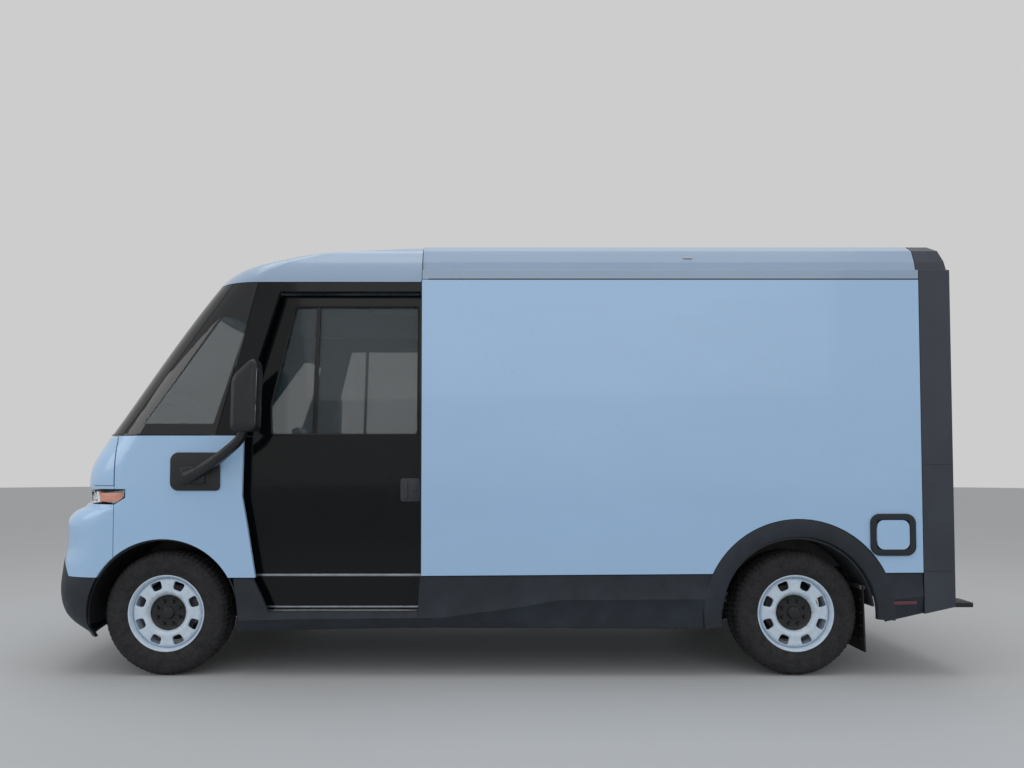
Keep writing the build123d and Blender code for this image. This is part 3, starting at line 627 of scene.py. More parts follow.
def seat_cloth():
    """Woven cloth: two crossed sets of threads, with a lighter fleck and a sheen."""
    made = Finish("seat_cloth", tuple(colours().cloth), 0.9, Sheen_Weight=0.35,
                  Sheen_Roughness=0.5)
    pitch = 2400
    along = made.math("SINE", made.math("MULTIPLY", made.math(
        "ADD", made.axis("X"), made.axis("Z")), pitch))
    over = made.math("SINE", made.math("MULTIPLY", made.math(
        "ADD", made.axis("Y"), made.math("MULTIPLY", made.axis("Z"), 0.3)), pitch))
    weave = made.math("MULTIPLY", along, over)
    made.vary(made.noise(160, 4, 0.7), 0.28)
    made.bump(weave, 0.35, 0.0007)
    return made.material


def floor_mat():
    """Ribbed rubber flooring with scuffs."""
    made = Finish("floor_mat", (0.05, 0.052, 0.055), 0.7)
    ribs = made.math("SINE", made.math("MULTIPLY", made.axis("Y"), 420))
    made.vary(made.noise(8, 6, 0.7), 0.3)
    made.bump(ribs, 0.5, 0.002)
    return made.material


def tread_plate():
    """Aluminium tread: staggered raised bars."""
    made = Finish("tread_plate", (0.42, 0.43, 0.44), 0.42, 0.9)
    first = made.math("SINE", made.math("MULTIPLY", made.math(
        "ADD", made.axis("X"), made.axis("Y")), 260))
    second = made.math("SINE", made.math("MULTIPLY", made.math(
        "SUBTRACT", made.axis("X"), made.axis("Y")), 260))
    made.bump(made.math("POWER", made.math("ABSOLUTE", made.math("MULTIPLY", first, second)),
                        3.0), 0.8, 0.002)
    made.vary(made.noise(25, 5), 0.15)
    return made.material


def inner_white():
    """Satin white panelling with scuffs."""
    made = Finish("inner_white", (0.55, 0.58, 0.60), 0.5)
    made.vary(made.noise(6, 6, 0.7, (1, 1, 2)), 0.07)
    made.rough_by(made.noise(30, 4), 0.4, 0.62)
    made.bump(made.noise(300, 2), 0.06, 0.0005)
    return made.material


def mirror_face():
    made = Finish("mirror_face", (0.62, 0.66, 0.70), 0.03, 1.0)
    made.rough_by(made.noise(12, 3), 0.02, 0.05)
    return made.material


def glow(name, colour, strength):
    """A dark screen or lamp element with a little light of its own."""
    made = Finish(name, colour, 0.25)
    made.set("Emission Color", (*colour, 1))
    made.set("Emission Strength", strength)
    made.vary(made.noise(60, 2), 0.05)
    return made.material


MAKERS = {
    "paint": body_paint, "roof": roof_paint, "cladding": cladding, "portal": portal_paint,
    "gloss": gloss_black, "screen": screen_glass, "quarter": quarter_glass,
    "pane": lambda: window("door_pane"), "tyre": tyre_rubber, "rubber": soft_rubber,
    "wheel": wheel_paint, "chassis": chassis_black, "cloth": seat_cloth, "mat": floor_mat,
    "tread": tread_plate, "white": inner_white, "mirror": mirror_face,
    "steel": lambda: metal("bare_steel", (0.42, 0.42, 0.43), 0.34),
    "cast": lambda: metal("cast_metal", (0.20, 0.20, 0.21), 0.6, strength=0.4),
    "chrome": lambda: metal("chrome", (0.75, 0.76, 0.78), 0.09, strength=0.02),
    "alloy": lambda: metal("alloy_case", (0.36, 0.37, 0.39), 0.45, (1, 6, 6)),
    "trim": lambda: metal("bright_trim", (0.34, 0.37, 0.41), 0.3, (0.1, 1, 1)),
    "plastic": lambda: plastic("cab_plastic", (0.030, 0.034, 0.040)),
    "pale_plastic": lambda: plastic("pale_plastic", (0.22, 0.26, 0.30)),
    "black": lambda: plastic("black_plastic", (0.010, 0.011, 0.013), 0.42, 1400, 0.12),
    "clear": lambda: lens("clear_lens", (0.80, 0.84, 0.88), 0.22),
    "amber": lambda: lens("amber_lens", (0.80, 0.17, 0.02), 0.9, 900),
    "red": lambda: lens("red_lens", (0.42, 0.010, 0.014), 0.94, 700),
    "dim_red": lambda: lens("dim_red_lens", (0.10, 0.018, 0.028), 1.0, 500),
    "lamp_white": lambda: glow("lamp_white", (0.75, 0.78, 0.82), 0.15),
    "display": lambda: glow("display", (0.02, 0.05, 0.09), 0.5),
    "high_voltage": lambda: plastic("high_voltage_sleeve", (0.75, 0.18, 0.02), 0.5, 500),
}
made_finishes = {}


def finish(name):
    """The finish of this name, made once."""
    if name not in made_finishes:
        made_finishes[name] = MAKERS[name]()
    return made_finishes[name]


def dress(name, *nodes):
    """Gives CAD nodes a finish in their own material slots."""
    for node in nodes:
        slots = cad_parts[node].material_slots
        if not slots:
            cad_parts[node].data.materials.append(finish(name))
        for slot in slots:
            slot.material = finish(name)


# ------------------------------------------------------------------ wheels
def tread_ripple(angle, radius, along):
    """Tread pattern: on the crown the radius drops into three grooves round the tyre and
    into slanted slots between blocks; on the shoulder it drops between lugs. The slots are a
    steep wave of the angle, shifted by the distance across."""
    crown = radius > TYRE_RADIUS - 0.003
    shoulder = (radius > TYRE_RADIUS - 0.018) & ~crown
    grooves = np.exp(-((np.abs(along) - 0.022) / 0.0042) ** 4) + \
        np.exp(-((np.abs(along) - 0.058) / 0.0045) ** 4)
    phase = angle * sizes().tread_blocks + 26 * np.abs(along) * np.where(along > 0, 1, -1)
    slots = np.clip((np.cos(phase) - 0.72) * 6, 0, 1)
    depth = np.clip(grooves + slots * (np.abs(along) > 0.026), 0, 1) * 0.0085
    return radius - np.where(crown, depth, 0) - np.where(shoulder, slots * 0.006, 0), along


def build_tyre(wheel, middle, side):
    """A tyre: a sidewall profile with bead, flex zone, raised ribs and shoulder, turned round
    the axle, its crown cut by the tread pattern."""
    half = 0.1215
    bead = [(0.2245, 0.060), (0.2275, 0.094), (0.2360, 0.1045), (0.2440, 0.1075),
            (0.2520, 0.1100)]
    wall = [(0.2600, 0.1142), (0.2700, 0.1180), (0.2790, 0.1200), (0.2840, 0.1212),
            (0.2880, 0.1204), (0.2960, half), (0.3080, half), (0.3200, 0.1206),
            (0.3250, 0.1212), (0.3300, 0.1196), (0.3400, 0.1176), (0.3500, 0.1140),
            (0.3585, 0.1090), (0.3650, 0.1030), (0.3700, 0.0975), (0.3735, 0.0930),
            (0.3765, 0.0890), (0.3785, 0.0850)]
    crown = [(TYRE_RADIUS - 0.0022 * (s / 0.08) ** 2, s)
             for s in (0.080, 0.072, 0.0645, 0.0625, 0.058, 0.0535, 0.0515, 0.044, 0.036,
                       0.0285, 0.0265, 0.022, 0.0175, 0.0155, 0.008, 0.0)]
    half_profile = bead + wall + crown
    profile = half_profile + [(r, -s) for r, s in half_profile[-2::-1]]
    inner = [(0.2225, -0.05), (0.2060, -0.03), (0.2060, 0.03), (0.2225, 0.05)]
    patch = lathe(profile + inner + profile[:1], (middle[0], side * middle[1], middle[2]),
                  (0, side, 0), 432, tread_ripple)
    return make("tyre_" + wheel + "_tread", "wheel_" + wheel, finish("tyre"), patch, 28,
                ["tyre_" + wheel])


def disc_height(radius):
    """How far outboard the pressed disc stands at this radius: a raised ring round the
    recessed middle, a shallow dish and a rise to the rim."""
    at = [0.100, 0.108, 0.116, 0.124, 0.134, 0.150, 0.172, 0.192, 0.202, 0.210, 0.2165]
    lift = [0.060, 0.062, 0.078, 0.089, 0.0935, 0.0925, 0.0905, 0.0915, 0.0890, 0.0790, 0.0640]
    return np.interp(radius, at, lift)


def disc_sector(origin, side, middle_angle, width, thickness=0.0065):
    """One sector of the disc with its window. Two parameters: the place round the window, and
    the way from the window's rim to the sector's border. Height follows the disc's profile,
    and sinks beside the window into a rolled lip; the back is the same surface, set in."""
    steps = 40
    window_shape = rounded_loop([(-0.0345, 0.201), (0.0345, 0.201), (0.0265, 0.149),
                                 (-0.0265, 0.149)], 0.016, 6)
    window_shape = even_loop(window_shape, steps)
    polar = np.stack([np.arctan2(window_shape[:, 0], window_shape[:, 1]),
                      np.hypot(window_shape[:, 0], window_shape[:, 1])], 1)
    centre = np.array([0.0, 0.175])
    way = polar - centre
    low, high = 0.104, 0.2165
    reach = np.minimum(np.where(np.abs(way[:, 0]) > 1e-9, width / 2 / np.abs(way[:, 0]), 99),
                       np.where(way[:, 1] > 0, (high - centre[1]) / np.maximum(way[:, 1], 1e-9),
                                (centre[1] - low) / np.maximum(-way[:, 1], 1e-9)))
    border = centre + way * reach[:, None]
    blend = np.array([0, 0.03, 0.08, 0.16, 0.28, 0.42, 0.6, 0.8, 1.0])
    flat = polar[None] + (border - polar)[None] * blend[:, None, None]
    lift = disc_height(flat[..., 1])
    lip = np.interp(blend, [0, 0.03, 0.08, 0.16, 0.28], [-0.007, -0.0035, -0.001, 0, 0])
    front = lift + lip[:, None]
    back = front - thickness
    angles = flat[..., 0] + middle_angle
    u, v = across((0, side, 0))
    rows = []
    for height, order in ((front, slice(None)), (back, slice(None, None, -1))):
        radius = flat[..., 1][order]
        turn = angles[order]
        rows.append(np.asarray(origin) + height[order][..., None] * np.array([0, side, 0])
                    + (radius * np.cos(turn))[..., None] * u
                    + (radius * np.sin(turn))[..., None] * v)
    front_rows, back_rows = rows
    loop = np.concatenate([front_rows[::-1], back_rows[::-1]])
    return sheet_of(loop, wrap_columns=True)


def build_wheel(wheel, middle, side):
    """A pressed steel wheel: a disc of like sectors, each round a window, and a rim turned
    from one profile with two flanges, seats and a well."""
    origin = np.array((middle[0], side * middle[1], middle[2]))
    axis = (0, side, 0)
    count = sizes().wheel_windows
    width = 2 * math.pi / count
    patches = [disc_sector(origin, side, k * width + width / 2, width) for k in range(count)]
    rim = [(0.2155, 0.066), (0.2180, 0.080), (0.2230, 0.092), (0.2250, 0.101), (0.2300, 0.1065),
           (0.2345, 0.1065), (0.2365, 0.1035), (0.2345, 0.1010), (0.2300, 0.1005),
           (0.2275, 0.094), (0.2235, 0.074), (0.2190, 0.062), (0.2065, 0.042), (0.2065, -0.042),
           (0.2190, -0.062), (0.2235, -0.080), (0.2275, -0.096), (0.2360, -0.1005),
           (0.2365, -0.1055), (0.2300, -0.1065), (0.2240, -0.100), (0.2195, -0.080),
           (0.2150, -0.062), (0.2025, -0.040), (0.2025, 0.040), (0.2120, 0.060)]
    patches.append(lathe(rim + rim[:1], origin, axis, 128))
    hub = rect(0.0302, 0.1060, 0.055, 0.0605)
    patches.append(lathe(hub + hub[:1], origin, axis, 64))
    return make("wheel_" + wheel + "_disc", "wheel_" + wheel, finish("wheel"), patches, 32,
                ["wheel_" + wheel])


def build_hub(wheel, middle, side):
    """The black hub cover: a stepped cap turned from a profile, with a ring of nuts."""
    origin = np.array((middle[0], side * middle[1], middle[2]))
    axis = np.array((0, side, 0.0))
    cap = [(0.0, 0.0880), (0.020, 0.0875), (0.034, 0.0850), (0.0385, 0.0800), (0.0400, 0.0700),
           (0.0440, 0.0672), (0.0900, 0.0665), (0.1000, 0.0690), (0.1055, 0.0730),
           (0.1085, 0.0720), (0.1085, 0.0615), (0.0, 0.0615)]
    patches = [lathe(cap, origin, axis, 96)]
    u, v = across(axis)
    nut = [(0.0, 0.088), (0.0085, 0.0875), (0.0105, 0.085), (0.0110, 0.070), (0.0135, 0.067),
           (0.0135, 0.0655), (0.0, 0.0655)]
    for k in range(sizes().wheel_nuts):
        turn = 2 * math.pi * (k + 0.5) / sizes().wheel_nuts
        place = origin + 0.072 * (math.cos(turn) * u + math.sin(turn) * v)
        patches.append(lathe(nut, place, axis, 6))
    return make("hub_cover_" + wheel, "wheel_" + wheel, finish("black"), patches, 30)


def build_brake(wheel, middle, side, carrier):
    """A vented brake disc that turns with the wheel, and a caliper that doesn't."""
    origin = np.array((middle[0], side * middle[1], middle[2]))
    axis = (0, side, 0)
    faces = [(0.075, 0.008), (0.160, 0.008), (0.162, 0.006), (0.162, 0.001), (0.150, 0.0),
             (0.150, -0.008), (0.162, -0.009), (0.162, -0.014), (0.160, -0.016),
             (0.075, -0.016)]
    bell = [(0.044, 0.050), (0.072, 0.050), (0.078, 0.044), (0.078, -0.014), (0.070, -0.014),
            (0.070, 0.038), (0.044, 0.038)]
    make("brake_disc_" + wheel, "wheel_" + wheel, finish("cast"),
         [lathe(faces + faces[:1], origin, axis, 96), lathe(bell + bell[:1], origin, axis, 64)],
         30)
    turn = np.linspace(math.radians(150), math.radians(206), 15)
    path = origin + np.stack([0.152 * np.cos(turn), np.full(15, -side * 0.004),
                              0.152 * np.sin(turn)], 1)
    profile = rounded_loop(rect(-0.030, 0.030, -0.026, 0.022), 0.008, 3)
    make("brake_caliper_" + wheel, carrier, finish("cast"),
         [carry(path, profile, up=(0, 0, 1))], 35)
    shield = [(0.062, -0.036), (0.062, -0.034), (0.150, -0.032), (0.185, -0.026),
              (0.186, -0.028), (0.150, -0.036)]
    make("dust_shield_" + wheel, carrier, finish("black"),
         lathe(shield + shield[:1], origin, axis, 64), 30)


WHEELS = (("front_left", front_wheel, LEFT, "knuckle_left"),
          ("front_right", front_wheel, RIGHT, "knuckle_right"),
          ("rear_left", rear_wheel, LEFT, "body"), ("rear_right", rear_wheel, RIGHT, "body"))


# ------------------------------------------------------------------ the cab's curved skin
CROWN, CORNER = 3.5, 0.33
SKIN_HEIGHTS = (0.235, 0.30, 0.37, 0.44, 0.53, 0.64, 0.74, 0.89, 0.96, 1.0, 1.035, 1.06, 1.158,
                1.272, 1.348, 1.405, 1.489, 1.491, 1.756, 2.165, 2.425)
SKIN_AHEAD = (0.640, 0.720, 0.795, 0.825, 0.835, 0.824, 0.806, 0.797, 0.788, 0.756, 0.686, 0.671,
              0.663, 0.652, 0.617, 0.580, 0.530, 0.522, 0.336, 0.050, -0.150)


def skin(along, height, inset=0.0):
    """A point on the cab's skin. along is the way round the plan outline from where the flank
    starts to bend: below 0 it runs back along the flank, then round the corner's arc, then
    along the front's wide arc. inset moves the point inwards."""
    along, height, inset = np.broadcast_arrays(along, height, inset)
    ahead = np.interp(height, SKIN_HEIGHTS, SKIN_AHEAD)
    crown, corner, half = CROWN - inset, CORNER - inset, side_y - inset
    middle = ahead - inset - crown
    corner_x = middle + np.sqrt((crown - corner) ** 2 - (half - corner) ** 2)
    turn = np.arctan2(half - corner, corner_x - middle)
    bend = CORNER * (np.pi / 2 - turn)
    angle = np.clip(np.pi / 2 - along / CORNER, turn, np.pi / 2)
    sweep = turn - np.maximum(along - bend, 0) / CROWN
    on_front = along > bend
    x = np.where(on_front, middle + crown * np.cos(sweep), corner_x + corner * np.cos(angle))
    y = np.where(on_front, crown * np.sin(sweep), half - corner + corner * np.sin(angle))
    return np.stack([aft(0) + x + np.minimum(along, 0), y, height + 0.0 * x], -1)


def front_middle(height):
    """The way round the skin, from the flank's bend to the middle of the front."""
    probe = np.linspace(0.4, 1.6, 1201)
    return float(probe[np.abs(skin(probe, height)[:, 1]).argmin()])


def skin_plate(outline, outer, inner, edge=0.002, side=LEFT):
    """A plate bent to the cab's skin: outline in (way round, height), between two insets."""
    def bend(points):
        return skin(points[..., 0], points[..., 1], inner - points[..., 2])
    patch = plate(outline, (0, 0, 0), (1, 0, 0), (0, 1, 0), inner - outer, edge, 1e-5,
                  place=bend)
    return on_side(patch, side)


def flank(distance_aft, height):
    """The way round the skin of a place this far behind the front axle, at this height, where
    it lies on the flank or on the corner's arc."""
    ahead = float(np.interp(height, SKIN_HEIGHTS, SKIN_AHEAD))
    middle = ahead - CROWN
    corner_x = middle + math.sqrt((CROWN - CORNER) ** 2 - (side_y - CORNER) ** 2)
    past = -distance_aft - corner_x
    return past if past < 0 else CORNER * math.asin(min(past / CORNER, 1))


def build_lamps():
    """Each head lamp: a dark housing, a row of reflector bowls, a light bar, an amber turn
    lamp at the rear end and a clear cover bent to the nose."""
    for side, name in SIDES:
        rear = flank(-0.243, 1.10)
        front = front_middle(1.10) - 0.545
        housing = skin_plate(rounded_loop([(rear, 1.062), (front, 1.062), (front, 1.143),
                                           (rear - 0.004, 1.143)], 0.01), 0.040, 0.058,
                             side=side)
        brow = skin_plate(rect(rear, front, 1.131, 1.1435), 0.008, 0.045, side=side)
        make("lamp_housing_" + name, "body", finish("black"), [housing, brow], 35)
        bowls = []
        reach = front - rear
        for share, size in ((0.36, 0.030), (0.52, 0.033), (0.68, 0.033), (0.84, 0.030)):
            spot = skin(rear + reach * share, 1.098, 0.036)
            out = unit(skin(rear + reach * share, 1.098, 0.0) - spot)
            bowl = [(0.0, -0.004), (size * 0.35, -0.002), (size * 0.7, 0.006), (size, 0.018),
                    (size * 1.04, 0.018), (size * 0.75, 0.002), (0.0, -0.008)]
            bowls.append(on_side(lathe(bowl, spot, out, 32), side))
        make("lamp_reflectors_" + name, "body", finish("chrome"), bowls, 40)
        bar = skin_plate(rounded_loop(rect(rear + reach * 0.27, front - 0.01, 1.066, 1.073),
                                      0.003), 0.012, 0.030, 0.001, side)
        fin = skin_plate(rounded_loop([(rear + reach * 0.245, 1.070), (rear + reach * 0.275, 1.07),
                                       (rear + reach * 0.315, 1.132), (rear + reach * 0.285,
                                                                      1.132)], 0.006),
                         0.010, 0.034, 0.002, side)
        make("lamp_light_bar_" + name, "body", finish("lamp_white"), [bar, fin], 35)
        amber = skin_plate(rounded_loop([(rear + 0.012, 1.090), (rear + 0.045, 1.070),
                                         (rear + reach * 0.235, 1.070),
                                         (rear + reach * 0.265, 1.128), (rear + 0.014, 1.128)],
                                        0.010), 0.010, 0.036, 0.004, side)
        make("turn_lamp_" + name, "body", finish("amber"), amber, 35)
        cover = skin_plate(rounded_loop([(rear - 0.004, 1.103), (rear + 0.054, 1.0605),
                                         (front, 1.0605), (front, 1.1445),
                                         (rear - 0.004, 1.1445)], 0.008), 0.0012, 0.0055, 0.002,
                           side)
        make("lamp_cover_" + name, "body", finish("clear"), cover, 35,
             once(side, "headlamps"))


def build_nose():
    """The front's own details: intake slats, a blank plate holder, sensors, fog lamps and
    two wipers."""
    low_middle = front_middle(0.45)
    slats = []
    for level in np.linspace(0.335, 0.435, 5):
        slat = rect(low_middle - 0.52, low_middle + 0.52, level - 0.006, level + 0.006)
        slats.append(skin_plate(rounded_loop(slat, 0.004), 0.001, 0.012, 0.002))
    frame_loop = rounded_loop(rect(low_middle - 0.56, low_middle + 0.56, 0.315, 0.455), 0.03, 5)
    frame_loop = even_loop(frame_loop, 120)
    path = skin(frame_loop[:, 0], frame_loop[:, 1], 0.004)
    rim = carry(path, round_profile(0.006, 8), up=(1, 0, 0.01), close=True)
    make("intake_slats", "body", finish("black"), [*slats, rim], 35)
    middle = front_middle(0.60)
    plate_shape = rounded_loop(rect(middle - 0.155, middle + 0.155, 0.545, 0.675), 0.012)
    make("front_plate_holder", "body", finish("black"),
         skin_plate(plate_shape, 0.0005, 0.010, 0.003), 35)
    sensors = []
    for share in (-0.62, -0.24, 0.24, 0.62):
        spot = skin(middle + share, 0.60, 0.004)
        out = unit(skin(middle + share, 0.60, 0.0) - spot)
        sensors.append(lathe([(0.0, 0.003), (0.010, 0.0028), (0.0125, 0.0015), (0.0135, 0.001),
                              (0.0135, -0.004), (0.0, -0.004)], spot, out, 24))
    make("parking_sensors", "body", finish("black"), sensors, 35)
    for side, name in SIDES:
        spot = skin(front_middle(0.47) - 0.70, 0.47, 0.006)
        out = unit(skin(front_middle(0.47) - 0.70, 0.47, 0.0) - spot)
        bowl = [(0.0, 0.004), (0.030, 0.0035), (0.040, 0.002), (0.043, 0.0045), (0.048, 0.0050),
                (0.051, 0.003), (0.051, -0.012), (0.0, -0.012)]
        patch = lathe(bowl, spot, out, 40)
        make("fog_lamp_" + name, "body", finish("clear"),
             on_side(patch, side), 35)
    for name, start, end in (("left", 0.24, -0.46), ("right", -0.42, -1.10)):
        middle = front_middle(1.53)

        def on_glass(y, height, lift):
            return skin(middle - y, height, -lift)
        pivot = on_glass(start, 1.512, 0.003)
        arm = np.stack([on_glass(start + (end - start) * t, 1.512 + 0.045 * math.sin(t * 1.9),
                                 0.006 + 0.010 * math.sin(t * 3.1)) for t in
                        np.linspace(0, 0.55, 12)])
        blade = np.stack([on_glass(start + (end - start) * t, 1.530 + 0.024 * t, 0.004)
                          for t in np.linspace(0.04, 1.0, 22)])
        flat = rounded_loop([(-0.007, -0.004), (0.007, -0.004), (0.005, 0.004), (-0.005, 0.004)],
                            0.003, 2)
        out = unit(pivot - on_glass(start, 1.512, -0.02))
        cap = lathe([(0.0, 0.014), (0.010, 0.012), (0.015, 0.006), (0.016, -0.003),
                     (0.0, -0.003)], pivot, out, 24)
        make("wiper_" + name, "body", finish("black"),
             [carry(arm, flat, up=out, scale=np.linspace(1.25, 0.8, 12)),
              carry(blade, flat * 0.75, up=out), cap], 35)


def build_mirrors():
    """Each mirror: a rounded base on the fender, a swan-neck arm that thins towards the top,
    and a tall rounded head with two glasses in its rear face."""
    for side, name in SIDES:
        base = rounded_loop([(0.044, 1.170), (0.044, 1.344), (0.074, 1.374), (0.350, 1.374),
                             (0.350, 1.140), (0.074, 1.140)], 0.030, 6)
        base_plate = side_plate(base, side, side_y + 0.0003, side_y + 0.012, 0.006)
        arm_line = smooth_path([(aft(0.165), side_y + 0.010, 1.225),
                                (aft(0.230), side_y + 0.030, 1.258),
                                (aft(0.300), side_y + 0.076, 1.292),
                                (aft(0.420), side_y + 0.118, 1.372),
                                (aft(0.510), side_y + 0.148, 1.448),
                                (aft(0.548), side_y + 0.168, 1.520)], 40)
        profile = rounded_loop(rect(-0.024, 0.024, -0.034, 0.034), 0.020, 4)
        arm = carry(arm_line, profile, up=(0, 1, 0),
                    scale=np.interp(np.linspace(0, 1, 40), [0, 0.25, 0.6, 1],
                                    [1.75, 1.4, 1.15, 0.95]))
        boot = soft_block((aft(0.262), side_y + 0.002, 1.180), (aft(0.110), side_y + 0.030, 1.290),
                          0.014, 5)
        head = rounded_loop([(0.478, 1.515), (0.502, 1.493), (0.612, 1.493), (0.633, 1.515),
                             (0.640, 1.893), (0.622, 1.919), (0.596, 1.917), (0.503, 1.832),
                             (0.484, 1.790)], 0.028, 6)
        shell = side_plate(head, side, side_y + 0.107, side_y + 0.253, 0.030, 0.0005)
        dark = [base_plate, shell]
        for patch in (arm, boot):
            dark.append(on_side(patch, side))
        make("mirror_" + name, "body", finish("black"), dark, 32,
             once(side, "mirrors"))
        glasses = []
        for low, high in ((1.530, 1.655), (1.675, 1.865)):
            outline = rounded_loop(rect(-0.060, 0.060, low, high),
                                   0.018, 5)
            lean = 0.010 / 0.4
            glasses.append(plate(outline[:, ::-1] * (1, side), (0, 0, 0), (-lean, 0, 1),
                                 (0, 1, 0), 0.001, 0.0005))
            points = glasses[-1][0]
            points[:, 1] += side * (side_y + 0.180)
            points[:, 0] += aft(0.6372) + lean * 1.893
        make("mirror_glass_" + name, "body", finish("mirror"), glasses, 35)


WINDOW = [(0.773, 2.299), (1.556, 2.299), (1.552, 1.483), (0.629, 1.483), (0.623, 1.675)]


def build_doors():
    """Trim of each sliding door: a rubber seal round the window, a bright line and a sill strip
    low down, a flush handle with its lock, and an inner lining."""
    for side, name in SIDES:
        body = "door_" + name
        loop = even_loop(rounded_loop(WINDOW, 0.026, 6), 200)
        inner = shrink(loop, sizes().seal * 0.5)
        path = np.stack([aft(0) - inner[:, 0], np.full(200, side * (door_y - 0.001)),
                         inner[:, 1]], 1)
        seal_shape = rounded_loop(rect(-0.0055, 0.0055, -0.006, 0.004), 0.003, 3)
        seal = carry(path, seal_shape, up=(0, side, 0), close=True)
        make("window_seal_" + name, body, finish("rubber"), seal, 40)
        lines = [side_plate([(0.545, 0.607), (1.598, 0.607), (1.598, 0.622), (0.541, 0.622)],
                            side, door_y - 0.001, door_y + 0.004, 0.002),
                 side_plate([(0.618, 0.4125), (1.602, 0.4125), (1.602, 0.424), (0.615, 0.424)],
                            side, door_y - 0.001, door_y + 0.004, 0.002)]
        make("door_trim_" + name, body, finish("trim"), lines, 35)
        handle = side_plate(rounded_loop(rect(1.440, 1.565, 1.070, 1.215), 0.02), side, door_y - 0.001,
                            door_y + 0.0025, 0.002)
        grip = side_plate(rounded_loop(rect(1.462, 1.487, 1.085, 1.200), 0.010), side, door_y,
                          door_y + 0.0075, 0.003)
        lock = lathe([(0.0, 0.0065), (0.009, 0.006), (0.0115, 0.004), (0.0115, 0.0), (0.0, 0.0)],
                     (aft(1.530), side * door_y, 1.142), (0, side, 0), 24)
        make("door_handle_" + name, body, finish("plastic"), [handle, grip, lock], 35)
        inside = [side_plate(rounded_loop([(0.64, 0.66), (1.57, 0.66), (1.57, 1.39),
                                           (0.60, 1.39)], 0.05), side, door_y - 0.0445,
                             door_y - 0.0395, 0.004, 0.0)]
        for patch_low, patch_high in ((0.90, 0.93), (1.12, 1.15)):
            inside.append(side_plate([(0.66, patch_low), (1.54, patch_low), (1.54, patch_high),
                                      (0.64, patch_high)], side, door_y - 0.0485,
                                     door_y - 0.0440, 0.002))
        make("door_lining_" + name, body, finish("pale_plastic"), inside, 35)


# ------------------------------------------------------------------ lower cladding
ARCH_X, ARCH_Z = 3.886, 0.382
ARCH_INNER, ARCH_OUTER, ARCH_PANEL = 0.472, 0.584, 0.53
TOP_LINE = ((0.43, 0.607), (0.568, 0.607), (0.646, 0.400), (1.558, 0.400), (1.572, 0.618),
            (4.641, 0.639))
CREASE_LINE = ((0.43, 0.350), (0.837, 0.360), (1.693, 0.368), (2.183, 0.433), (2.428, 0.476),
               (3.284, 0.480), (4.45, 0.480), (4.641, 0.500))
LOW_LINE = ((0.43, 0.290), (0.531, 0.284), (1.143, 0.297), (1.632, 0.302), (3.388, 0.296),
            (4.365, 0.329), (4.641, 0.391))


def line_at(line, distance):
    return np.interp(distance, [a for a, _ in line], [z for _, z in line])


def cladding_panel(start, end):
    """One sill panel. s runs along it, t round its section: out over the top edge, down a
    facet that leans out to the crease, then an undercut to the bottom and back inside. The
    ends follow start(height) and end(height), so they can be cut by a wheel arch."""
    front, back = start(0.45), end(0.45)
    marks = [a for line in (TOP_LINE, CREASE_LINE, LOW_LINE) for a, _ in line]
    run = np.unique(np.concatenate([np.linspace(front, back, 40),
                                    [a for a in marks if front < a < back]]))
    top, crease, low = (line_at(line, run) for line in (TOP_LINE, CREASE_LINE, LOW_LINE))
    section = [(1.038, top - 0.001), (1.062, top), (1.0655, top - 0.003),
               (1.068, top * 0.6 + crease * 0.4), (1.0735, crease + 0.006),
               (1.075, crease), (1.0725, crease - 0.006), (1.063, crease * 0.5 + low * 0.5),
               (1.057, low + 0.008), (1.053, low + 0.001), (1.047, low), (1.038, low + 0.003)]
    rows = []
    for y, z in section:
        z = np.broadcast_to(z, run.shape)
        share = (run - front) / (back - front)
        low_end, high_end = start(z), end(z)
        distance = np.where(share < 0.5, run + (low_end - front) * np.clip(1 - share * 12, 0, 1),
                            run + (high_end - back) * np.clip(share * 12 - 11, 0, 1))
        rows.append(np.stack([aft(0) - distance, np.full(run.shape, y), z], 1))
    points = np.stack(rows, 1)
    first = np.repeat(points[:1].mean(1, keepdims=True), points.shape[1], 1)
    last = np.repeat(points[-1:].mean(1, keepdims=True), points.shape[1], 1)
    return sheet_of(np.concatenate([first, points, last]), wrap_columns=True)


def arc_band(middle, radii_and_y, low, high, steps=72):
    """A closed section in (radius, y) carried round part of a circle in the van's side view:
    distance aft = middle + radius cos(angle), height = middle + radius sin(angle)."""
    section = np.asarray(radii_and_y, float)
    angle = np.radians(np.linspace(low, high, steps))
    points = np.stack([aft(0) - middle[0] - section[None, :, 0] * np.cos(angle)[:, None],
                       np.broadcast_to(section[None, :, 1], (steps, len(section))),
                       middle[1] + section[None, :, 0] * np.sin(angle)[:, None]], -1)
    first = np.repeat(points[:1].mean(1, keepdims=True), len(section), 1)
    last = np.repeat(points[-1:].mean(1, keepdims=True), len(section), 1)
    return sheet_of(np.concatenate([first, points, last]), wrap_columns=True)


